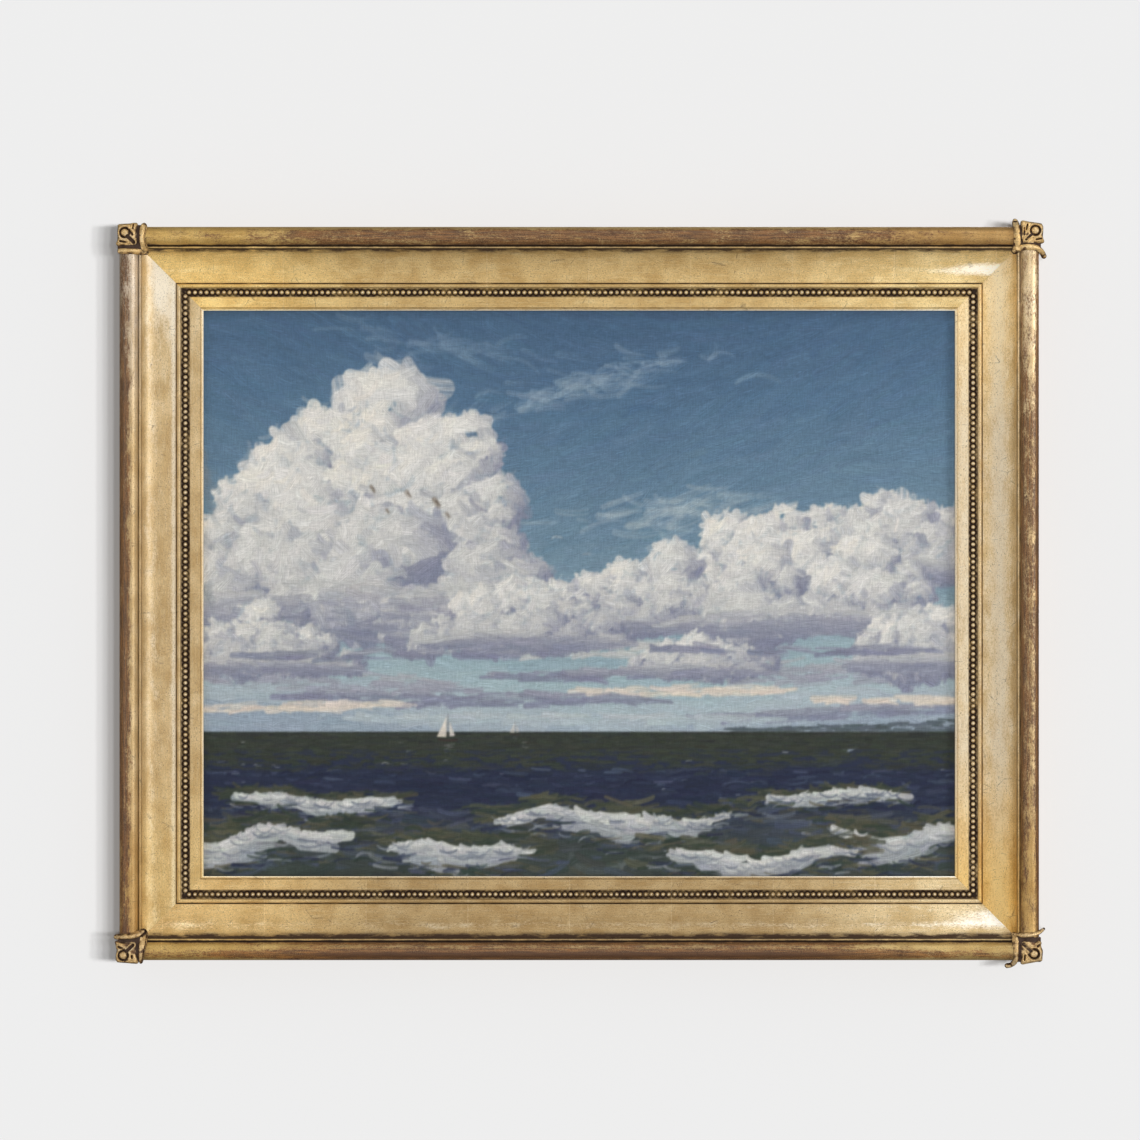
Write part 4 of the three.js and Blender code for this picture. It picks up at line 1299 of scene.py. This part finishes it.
def paint_puff(painting, x, y, radius, shade, edge_tone):
    """One round head of a heaped cloud, lit from the upper left, in strokes that follow its rim."""
    rng = painting.rng
    for strokes, more, near, far, length, width, opacity, body, spread in PUFF_PASSES:
        for _ in range(round(strokes + more * radius)):
            out = near + (far - near) * math.sqrt(rng.uniform(0, 1))
            turn = rng.uniform(0, 2 * math.pi)
            nx, ny = out * math.cos(turn), out * math.sin(turn)
            light = -0.50 * nx - 0.62 * ny + 0.6 * math.sqrt(max(0, 1 - out ** 2)) - shade
            light += rng.normal(0, spread)
            if body > 1.5 and light < 0.62:
                continue
            colour = tone_at(light, CLOUD_STOPS)
            if near > 0.8:
                colour = blend(colour, edge_tone, rng.uniform(0.2, 0.7))
            painting.stroke(x + radius * nx, y + radius * ny * (0.8 if ny > 0 else 1.0),
                            math.degrees(turn) + 90 + rng.normal(0, 20),
                            radius * length * rng.uniform(0.7, 1.3),
                            max(1.8, radius * width * rng.uniform(0.7, 1.3)),
                            painting.vary(colour, 1.8), -0.12 * radius * rng.uniform(0, 1.6) * out,
                            rng.uniform(0.15, 0.6), body, opacity)


def heap_of_puffs(rng, x, base, width, height, size, lean):
    """Puffs that make up a heaped cloud on a flat base, from the back to the front."""
    puffs = []
    for level in np.linspace(1.0, 0.0, max(3, round(height / size) + 1)):
        half = width / 2 * (1 - level ** 1.6) ** 0.6
        count = max(1, round(2.3 * half / size))
        for k in range(count):
            across = 0 if count == 1 else -1 + 2 * k / (count - 1)
            swell = rng.uniform(0.62, 1.3)
            px = x + lean * level * height + across * (half - 0.3 * size) + rng.normal(0, 0.3 * size)
            py = base - level * (height - size) - 0.45 * size + rng.normal(0, 0.3 * size)
            puffs.append((px, py, size * swell * (1.1 - 0.3 * abs(across)), level))
    return puffs


def paint_heap(painting, x, base, width, height, size, lean=0.0, gloom=0.0):
    """A heaped cloud: its puffs, then its flat shaded base."""
    rng = painting.rng
    for px, py, radius, level in heap_of_puffs(rng, x, base, width, height, size, lean):
        side = (px - x) / (0.5 * width)
        shade = gloom + 0.5 * (1 - level) ** 1.4 + 0.14 * max(0, side) + rng.normal(0, 0.05)
        edge_tone = tone_at(py / SIGHT_HEIGHT, SKY_STOPS)
        paint_puff(painting, px, py, radius, shade, edge_tone)
    for _ in range(round(width * 0.75)):
        along = rng.uniform(-0.52, 0.52)
        depth = 0.2 * height * max(0, 1 - (1.9 * along) ** 2) ** 0.5
        fall = rng.uniform(-1, 0.3)
        tone = blend(LIGHT_GREY, MAUVE_GREY, smoothstep(-1.0, -0.45, fall))
        tone = blend(tone, VIOLET_GREY, smoothstep(-0.5, 0.1, fall) * rng.uniform(0.3, 1))
        painting.stroke(x + along * width, base + fall * depth, rng.normal(0, 7), rng.uniform(12, 32),
                        rng.uniform(3, 6.5), painting.vary(tone, 2.5), rng.normal(0, 1), 0.5, 0.8, 0.7)


SEA_STOPS = [
    (0.0, OLIVE_GREEN),
    (0.19, OLIVE_GREEN),
    (0.26, NAVY),
    (0.50, NAVY),
    (0.62, (52, 60, 70)),
    (0.80, (58, 66, 64)),
    (1.0, (52, 62, 58)),
]


def paint_sea(painting):
    """Level strokes that grow longer and broader towards the front."""
    rng = painting.rng
    depth = SIGHT_HEIGHT - HORIZON
    for _ in range(4600):
        x = rng.uniform(-10, SIGHT_WIDTH + 10)
        near = rng.uniform(0, 1.03) ** 1.15
        y = HORIZON + near * depth + 2.4
        colour = tone_at(near + rng.normal(0, 0.02), SEA_STOPS)
        chance = rng.uniform()
        if near > 0.24 and chance < 0.16:
            colour = blend(colour, SLATE, rng.uniform(0.3, 0.9))
        elif near > 0.5 and chance < 0.32:
            colour = blend(colour, OLIVE_BROWN, rng.uniform(0.2, 0.8))
        elif near > 0.5 and chance < 0.4:
            colour = blend(colour, FOAM_GREY, rng.uniform(0.1, 0.4))
        length = (7 + 26 * near) * rng.uniform(0.6, 1.5)
        width = (1.5 + 4.6 * near) * rng.uniform(0.7, 1.3)
        lean = rng.normal(0, 2 + 9 * near)
        painting.stroke(x, y, lean, length, width, painting.vary(colour, 4),
                        rng.normal(0, 0.5 + 2.2 * near), rng.uniform(0.15, 0.6), 0.9, 0.9)


def paint_horizon(painting):
    """The sea's far edge: level strokes side by side, so that it is crisp and dark."""
    rng = painting.rng
    for row in range(12):
        for x in np.arange(-10, SIGHT_WIDTH + 20, 13.0):
            tone = blend(OLIVE_GREEN, (44, 48, 50), rng.uniform(0, 0.8))
            painting.stroke(x + rng.uniform(-4, 4), HORIZON + 1.1 + 1.1 * row, 0, 28, 2.0,
                            painting.vary(tone, 4), 0, 0.1, 0.8)


class Wave:
    """The line of a breaking wave, and how full its foam is along it."""

    def __init__(self, rng, x, y, length, size):
        self.x = x
        self.y = y
        self.length = length
        self.size = size
        self.phases = rng.uniform(0, 2 * math.pi, 3)

    def crest(self, place):
        swell = math.sin(place / 27 + self.phases[0]) + 0.5 * math.sin(place / 12 + self.phases[1])
        return self.y + 0.2 * self.size * swell

    def slope(self, place):
        return math.degrees(math.atan2(self.crest(place + 3) - self.crest(place - 3), 6))

    def fullness(self, place):
        lumps = 0.22 * math.sin(place / 17 + self.phases[1]) + 0.14 * math.sin(place / 7 + self.phases[2])
        return max(0.0, 1 - abs(2 * (place - self.x) / self.length) ** 2.2) * (0.68 + lumps)


FOAM_PASSES = (
    # highest and lowest part of the foam, strokes for each mm, length, width, body
    (0.1, 1.0, 0.45, 30, 7.5, 0.9),
    (0.0, 0.8, 0.45, 22, 5.5, 1.5),
    (0.0, 0.4, 0.30, 13, 3.6, 2.2),
)


def paint_foam(painting, wave):
    """The foam that tumbles over a wave, whitest at its crest, and a few streaks across it."""
    rng = painting.rng
    for highest, lowest, strokes, length, width, body in FOAM_PASSES:
        for _ in range(round(wave.length * strokes)):
            px = wave.x + rng.uniform(-0.5, 0.5) * wave.length
            full = wave.fullness(px)
            fall = rng.uniform(highest, lowest)
            if full < 0.1 + 0.25 * fall:
                continue
            tone = blend(FOAM, FOAM_GREY, np.clip(1.3 * fall + rng.normal(0, 0.25), 0, 1))
            painting.stroke(px, wave.crest(px) + fall * wave.size * full, wave.slope(px) + rng.normal(2, 6),
                            length * rng.uniform(0.5, 1.2), width * rng.uniform(0.6, 1.2),
                            painting.vary(tone, 5), rng.normal(-1.2, 1.6), rng.uniform(0.1, 0.6), body, 0.92)
    for _ in range(round(wave.length * 0.16)):
        px = wave.x + rng.uniform(-0.5, 0.5) * wave.length
        tone = blend(FOAM_GREY, SLATE, rng.uniform(0, 0.7))
        py = wave.crest(px) + rng.uniform(0.2, 0.8) * wave.size * wave.fullness(px)
        painting.stroke(px, py, rng.normal(4, 8), rng.uniform(8, 18), rng.uniform(1.2, 2.4), tone,
                        rng.normal(-2.5, 1.2), 0.3, 1.2, 0.8)


def paint_breaker(painting, x, y, length, size):
    """A breaking wave: its dark face, the foam tumbling over it, and the spent foam in front."""
    rng = painting.rng
    wave = Wave(rng, x, y, length, size)
    for _ in range(round(length * 0.8)):
        px = x + rng.uniform(-0.6, 0.6) * length
        py = wave.crest(px) - rng.uniform(0.0, 0.6) * size
        tone = blend(OLIVE_BROWN, DEEP_GREEN, rng.uniform(0, 1))
        painting.stroke(px, py, rng.normal(0, 10), rng.uniform(8, 26), rng.uniform(2, 4.5),
                        painting.vary(tone, 4), rng.normal(0, 1.5), 0.45, 0.9, 0.8)
    paint_foam(painting, wave)
    for _ in range(round(length * 0.5)):
        px = x + rng.uniform(-0.6, 0.6) * length
        py = wave.crest(px) + size * (0.9 * wave.fullness(px) + rng.uniform(0.1, 0.7))
        tone = (NAVY, DEEP_GREEN, SLATE, OLIVE_BROWN, FOAM_GREY)[rng.integers(5)]
        painting.stroke(px, py, rng.normal(0, 8), rng.uniform(8, 24), rng.uniform(1.5, 3.2),
                        painting.vary(tone, 4), rng.normal(0, 1.5), 0.5, 0.9, 0.7)


def paint_white_caps(painting, count):
    """Small far-off crests, scattered over the middle of the sea."""
    rng = painting.rng
    for _ in range(count):
        near = rng.uniform(0.05, 0.6)
        y = HORIZON + near * (SIGHT_HEIGHT - HORIZON)
        tone = blend(FOAM, FOAM_GREY, rng.uniform(0.1, 0.9))
        painting.stroke(rng.uniform(5, SIGHT_WIDTH - 5), y, rng.normal(0, 5), rng.uniform(3, 5 + 9 * near),
                        rng.uniform(0.7, 1.1 + near), tone, rng.normal(0, 0.5), 0.5, 1.3, 0.85)


def paint_headland(painting, x, length, height):
    """A low far shore on the horizon, higher at one end."""
    rng = painting.rng
    for _ in range(round(length * 1.1)):
        along = rng.uniform(0, 1)
        top = height * (0.25 + 0.75 * along ** 1.6) * (0.9 + 0.1 * math.sin(30 * along))
        py = HORIZON - rng.uniform(0, 1) * top
        tone = blend((98, 108, 120), (74, 86, 88), rng.uniform(0, 1))
        painting.stroke(x + along * length, py, rng.normal(-2, 4), rng.uniform(6, 16), rng.uniform(1.2, 2.4),
                        painting.vary(tone, 4), 0, 0.3, 0.8, 0.85)


def paint_boat(painting, x, y, size):
    """A small sailing boat that heads right: a dark hull, two sails, and a broken reflection."""
    rng = painting.rng
    hull = (58, 48, 44)
    painting.stroke(x, y, 2, 0.95 * size, 0.15 * size, hull, -0.04 * size, 0.0)
    painting.stroke(x, y - 0.62 * size, 91, 1.25 * size, 0.045 * size, hull, 0, 0.0)
    for k in range(14):
        up = (k + 0.5) / 14
        reach = 0.46 * size * (1 - up) + 0.03 * size
        sail = painting.vary(blend(CREAM, WARM_WHITE, up), 4)
        painting.stroke(x - (0.04 * size + reach / 2), y - size * (0.16 + 0.98 * up), 2, reach,
                        0.1 * size, sail, 0, 0.1, 1.2)
        if up < 0.8:
            jib = painting.vary(blend(LIGHT_GREY, CREAM, 0.5), 4)
            painting.stroke(x + (0.05 * size + 0.32 * reach), y - size * (0.2 + 0.8 * up), -2,
                            0.6 * reach, 0.1 * size, jib, 0, 0.1, 1.2)
    for k in range(9):
        down = (k + 1) / 9
        tone = blend(CREAM, SLATE, 0.35 + 0.5 * down)
        painting.stroke(x + rng.normal(0, 0.1 * size), y + size * (0.14 + 0.5 * down), rng.normal(0, 4),
                        0.4 * size * (1.1 - down), 0.06 * size, tone, 0, 0.5, 0.9, 0.7)


def paint_gull(painting, x, y, span, lean):
    """A far-off gull: two short curved strokes."""
    for side in (-1, 1):
        painting.stroke(x + side * 0.25 * span, y, lean + side * 18, 0.55 * span, 0.13 * span,
                        (212, 212, 208), 0.08 * span, 0.1, 1.0, 0.9)
    painting.stroke(x, y + 0.05 * span, lean, 0.2 * span, 0.14 * span, (96, 98, 104), 0, 0.0, 1.0, 0.8)


def rub_through(painting, x, y, size):
    """A small abrasion, where the brown ground shows through the paint."""
    painting.stroke(x, y, 58, size, 0.42 * size, (128, 116, 102), 0, 0.6, 0.1, 0.75)
    painting.stroke(x + 0.1 * size, y, 50, 0.6 * size, 0.2 * size, (88, 74, 62), 0, 0.5, 0.0, 0.8)


# Each row below starts with a place, as shares of the sight's width and height.

VEILS = (                           # length, lean in degrees, strokes, colour
    (0.52, 0.13, 190, -12, 70, (150, 168, 182)),
    (0.30, 0.06, 150, 8, 40, (120, 144, 166)),
    (0.60, 0.36, 170, -6, 60, (176, 188, 192)),
)
FAR_BANDS = (                       # length, depth, colour, strokes
    (0.16, 0.655, 200, 17, MAUVE_GREY, 70),
    (0.50, 0.600, 170, 13, LIGHT_GREY, 60),
    (0.80, 0.640, 240, 18, MAUVE_GREY, 90),
    (0.36, 0.685, 300, 12, VIOLET_GREY, 90),
    (0.64, 0.672, 160, 7, CREAM, 40),
    (0.12, 0.700, 180, 7, CREAM, 40),
    (0.84, 0.712, 220, 9, VIOLET_GREY, 70),
    (0.48, 0.722, 330, 7, HAZE, 80),
    (0.92, 0.688, 110, 5, CREAM, 26),
)
HEAPS = (                           # width, height, size of the puffs, lean, gloom
    (0.56, 0.560, 120, 40, 12, 0.0, 0.15),
    (0.90, 0.470, 200, 66, 17, 0.3, 0.08),
    (0.20, 0.560, 285, 185, 27, 0.18, 0.0),
    (0.80, 0.565, 215, 92, 20, -0.2, 0.02),
    (0.43, 0.590, 150, 52, 15, 0.0, 0.06),
    (0.97, 0.630, 120, 44, 13, 0.0, 0.12),
    (0.07, 0.635, 150, 42, 13, 0.0, 0.05),
    (0.66, 0.640, 110, 26, 9, 0.0, 0.1),
)
NEAR_BANDS = ((0.24, 0.610, 230), (0.80, 0.60, 230), (0.5, 0.645, 150))                       # length
EDGE_VEILS = ((-0.01, 0.26), (-0.01, 0.38), (-0.01, 0.50))
BREAKERS = (                        # length, size
    (0.84, 0.858, 100, 10),
    (0.15, 0.866, 120, 13),
    (0.55, 0.894, 190, 20),
    (0.93, 0.922, 120, 22),
    (0.07, 0.930, 150, 25),
    (0.34, 0.952, 120, 20),
    (0.74, 0.962, 150, 20),
)
GULLS = ((0.47, 0.40, 9, -8), (0.51, 0.43, 7, 6), (0.44, 0.455, 6, -4))                       # span, lean
ABRASIONS = (                       # size
    (0.225, 0.315, 8),
    (0.245, 0.355, 6),
    (0.272, 0.325, 9),
    (0.31, 0.34, 11),
    (0.325, 0.362, 7),
)


def placed(rows):
    """The rows of a table, with their places in millimetres."""
    return [(x * SIGHT_WIDTH, y * SIGHT_HEIGHT, *rest) for x, y, *rest in rows]


def make_picture():
    """The whole picture, from what is furthest away to what is nearest."""
    painting = Painting(5)
    rng = painting.rng
    paint_sky(painting)
    for veil in placed(VEILS):
        paint_veil(painting, *veil)
    for band in placed(FAR_BANDS):
        paint_band(painting, *band, rng.normal(0, 1))
    for heap in placed(HEAPS):
        paint_heap(painting, *heap)
    for band in placed(NEAR_BANDS):
        paint_band(painting, *band, 7, VIOLET_GREY, 40, rng.normal(0, 1.5))
    for place in placed(EDGE_VEILS):
        paint_veil(painting, *place, 36, 60, 16, (130, 139, 145))
    paint_headland(painting, 0.70 * SIGHT_WIDTH, 0.32 * SIGHT_WIDTH, 11)
    paint_horizon(painting)
    paint_sea(painting)
    paint_white_caps(painting, 34)
    for breaker in placed(BREAKERS):
        paint_breaker(painting, *breaker)
    paint_boat(painting, 0.325 * SIGHT_WIDTH, HORIZON + 7, 17)
    paint_boat(painting, 0.415 * SIGHT_WIDTH, HORIZON + 2.5, 9)
    for gull in placed(GULLS):
        paint_gull(painting, *gull)
    for abrasion in placed(ABRASIONS):
        rub_through(painting, *abrasion)
    return painting


# ---- The paint, on the canvas ----

PAINT_HEIGHT = CANVAS_FRONT - 0.25
RELIEF_GAIN = 1.9                   # where nothing rests on the paint
EDGE_GAIN = 0.8                     # under the frame
PAINT_BANDS = (("upper_sky", 0, 152), ("lower_sky", 152, 304), ("sea", 304, None))


def oil_paint_material():
    """Oil paint: `paint` is its colour, and `grain` the place along and across the brush stroke."""
    g = Graph("oil_paint")
    place = g.position()
    bristles = g.streaked(g.attribute("grain", "Vector"), (0.07, 1.5, 0.0), 3, 0.6)
    weave = (g.streaked(place, (950, 1, 130)) + g.streaked(place, (130, 1, 950))) * 0.5
    colour = g.shaded(g.attribute("paint", "Color"), g.between(bristles, 0.25, 0.75, 0.80, 1.18))
    colour = g.shaded(colour, g.between(weave, 0.35, 0.65, 0.88, 1.09))
    g.set(Base_Color=colour, Roughness=g.between(bristles, 0.3, 0.7, 0.42, 0.58))
    g.set(Specular_IOR_Level=0.22)
    g.set(Normal=g.bumped(bristles * 0.6 + weave * 0.4, 0.0004))
    return g.material


def averaged(dots):
    """The dots of a sheet averaged over each millimetre."""
    rows = dots.shape[0] // DOTS_PER_MM
    columns = dots.shape[1] // DOTS_PER_MM
    used = dots[:rows * DOTS_PER_MM, :columns * DOTS_PER_MM]
    return used.reshape(rows, DOTS_PER_MM, columns, DOTS_PER_MM, -1).mean(axis=(1, 3))


def paint_films(painting, material):
    """The paint as bands of one sheet, with a point each millimetre and a relief of its strokes."""
    colour = averaged(blurred(painting.colour, 1, passes=1))
    relief = averaged(painting.relief)[..., 0]
    rows, columns = relief.shape
    grain = np.zeros((rows, columns, 3))
    grain[..., :2] = painting.grain[::DOTS_PER_MM, ::DOTS_PER_MM][:rows, :columns]
    x = np.arange(columns)[None, :] + 0.5 - PAINT_MARGIN + 0 * relief
    y = np.arange(rows)[:, None] + 0.5 - PAINT_MARGIN + 0 * relief
    from_edge = np.minimum(np.minimum(x, SIGHT_WIDTH - x), np.minimum(y, SIGHT_HEIGHT - y))
    gain = EDGE_GAIN + (RELIEF_GAIN - EDGE_GAIN) * smoothstep(0.5, 4, from_edge)
    points = np.stack([LEFT + RAIL_WIDTH + x, -PAINT_HEIGHT - gain * relief, TOP - RAIL_WIDTH - y], axis=-1)
    for name, first, last in PAINT_BANDS:
        band = slice(first, None if last is None else last + 1)
        places = points[band].reshape(-1, 3)
        faces = grid_faces(*relief[band].shape)[:, ::-1]
        piece = build_mesh(f"paint_{name}", places, faces, 180)
        add_colours(piece, "paint", to_linear(colour[band].reshape(-1, 3)))
        add_vectors(piece, "grain", grain[band])
        add_bake_map(piece, places[:, 0], places[:, 2])
        finish_piece(piece, material, "painted_linen", "canvas")


# ---- Stage, lights and camera ----

STAGE_TONE = 0.80
STAGE_REACH = 6000
FLOOR_DROP = 900
WALL_LIGHT_SLANTS = (0.03, 0.17, 0.28, 0.37, 0.48)
SOFTBOXES = (                       # name, place from the painting's middle, watts, size
    ("right", (2.6, -1.5, 0.3), 40, 0.9),
    ("above", (0.3, -1.5, 2.2), 15, 0.9),
    ("left", (-2.4, -1.7, -0.3), 20, 1.8),
    ("below", (0.2, -2.0, -1.9), 10, 1.6),
    ("front", (0.1, -3.0, 0.1), 27, 2.4),
    ("behind", (0.8, 2.6, 0.6), 40, 1.6),
)
CAMERA_LENS = 300
CAMERA_SENSOR = 36
VIEW_WIDTH = 900.0                  # what the camera takes in, at the frame's front
VIEW_SHIFT = (-7.3, 18.55)          # of the view's middle from the frame's, to the right and up
WALL_LIGHT = 0.585
WALL_LIGHT_SPREAD = 4               # degrees across
AMBIENT_LIGHT = 0.18


def stage_material(name):
    """Plain matt paint. The wall's back lets the view through, so that the painting's back shows."""
    g = Graph(name)
    g.set(Base_Color=(STAGE_TONE,) * 3, Roughness=0.9)
    g.set(Specular_IOR_Level=0.0)
    seen_from_behind = g.made("ShaderNodeNewGeometry", "Backfacing", {})
    see_through = g.made("ShaderNodeBsdfTransparent", 0, {})
    paint = Value(g, g.shader.outputs[0])
    shader = g.made("ShaderNodeMixShader", 0, {0: seen_from_behind, 1: paint, 2: see_through})
    g.feed(g.output.inputs["Surface"], shader)
    return g.material


def stage_plane(name, corners):
    plane = build_mesh(name, corners, [[0, 1, 2, 3]])
    plane.data.materials.append(stage_material(f"{name}_paint"))
    plane.visible_shadow = False
    plane.visible_diffuse = False
    plane.visible_glossy = False
    return plane


def build_stage():
    """A wall just behind the frame, and a floor far below it."""
    behind = 2
    floor = BOTTOM - FLOOR_DROP
    top = TOP + STAGE_REACH
    stage_plane("floor", [(-STAGE_REACH, -STAGE_REACH, floor), (STAGE_REACH, -STAGE_REACH, floor),
                          (STAGE_REACH, behind, floor), (-STAGE_REACH, behind, floor)])
    return stage_plane("wall", [(-STAGE_REACH, behind, floor), (STAGE_REACH, behind, floor),
                                (STAGE_REACH, behind, top), (-STAGE_REACH, behind, top)])


def add_light(name, kind, direction, energy, size, reaches):
    """A light that shines on the painting's middle from a direction. Its size is in metres for area
    lights and in degrees across for suns."""
    data = bpy.data.lights.new(name, kind)
    data.energy = energy
    if kind == "SUN":
        data.angle = math.radians(size)
    else:
        data.shape = "SQUARE"
        data.size = size
    light = bpy.data.objects.new(name, data)
    centre = Vector((CENTRE_X, 0, CENTRE_Z)) * MM
    light.location = centre + Vector(direction)
    light.rotation_euler = (-Vector(direction)).to_track_quat("-Z", "Y").to_euler()
    bpy.context.scene.collection.objects.link(light)
    light.light_linking.receiver_collection = reaches
    return light


def linked(name, wall, state):
    """A collection that makes a light reach only the wall (INCLUDE) or all but the wall (EXCLUDE)."""
    collection = bpy.data.collections.new(name)
    collection.objects.link(wall)
    collection.collection_objects[0].light_linking.link_state = state
    return collection


def build_lights(wall):
    """Soft light from the right: the wall and the painting have lights of their own."""
    wall_only = linked("the_wall_only", wall, "INCLUDE")
    all_but_wall = linked("all_but_the_wall", wall, "EXCLUDE")
    for k, slant in enumerate(WALL_LIGHT_SLANTS):
        name = f"wall_light_{k + 1}"
        add_light(name, "SUN", (slant, -1.0, 0.0), WALL_LIGHT, WALL_LIGHT_SPREAD, wall_only)
    for name, direction, watts, size in SOFTBOXES:
        add_light(f"softbox_{name}", "AREA", direction, watts, size, all_but_wall)
    world = bpy.data.worlds.new("studio")
    world.use_nodes = True
    world.node_tree.nodes["Background"].inputs["Color"].default_value = (1, 1, 1, 1)
    world.node_tree.nodes["Background"].inputs["Strength"].default_value = AMBIENT_LIGHT
    bpy.context.scene.world = world


def build_camera():
    data = bpy.data.cameras.new("camera")
    data.lens = CAMERA_LENS
    data.sensor_width = CAMERA_SENSOR
    data.clip_end = 100
    camera = bpy.data.objects.new("camera", data)
    distance = VIEW_WIDTH * CAMERA_LENS / CAMERA_SENSOR
    front = CREST - TORUS_RISE
    camera.location = Vector((CENTRE_X + VIEW_SHIFT[0], -front - distance, CENTRE_Z + VIEW_SHIFT[1])) * MM
    camera.rotation_euler = (math.radians(90), 0, 0)
    bpy.context.scene.collection.objects.link(camera)
    bpy.context.scene.camera = camera


# ---- The whole ----

bpy.context.scene.view_settings.view_transform = "Standard"
build_camera()
build_lights(build_stage())

gilding = gilding_material()
wood = level_and_upright_wood("ochre_washed_wood", linear(168, 134, 86), linear(134, 101, 62), 7, 70)
for side in SIDES:
    rail_piece(side, gilding, wood[side.name])
    pearl_course(side, gilding)
for corner in CORNERS:
    corner_cap(corner, gilding)
linen_piece(linen_material())
paint_films(make_picture(), oil_paint_material())
finish_stretcher()
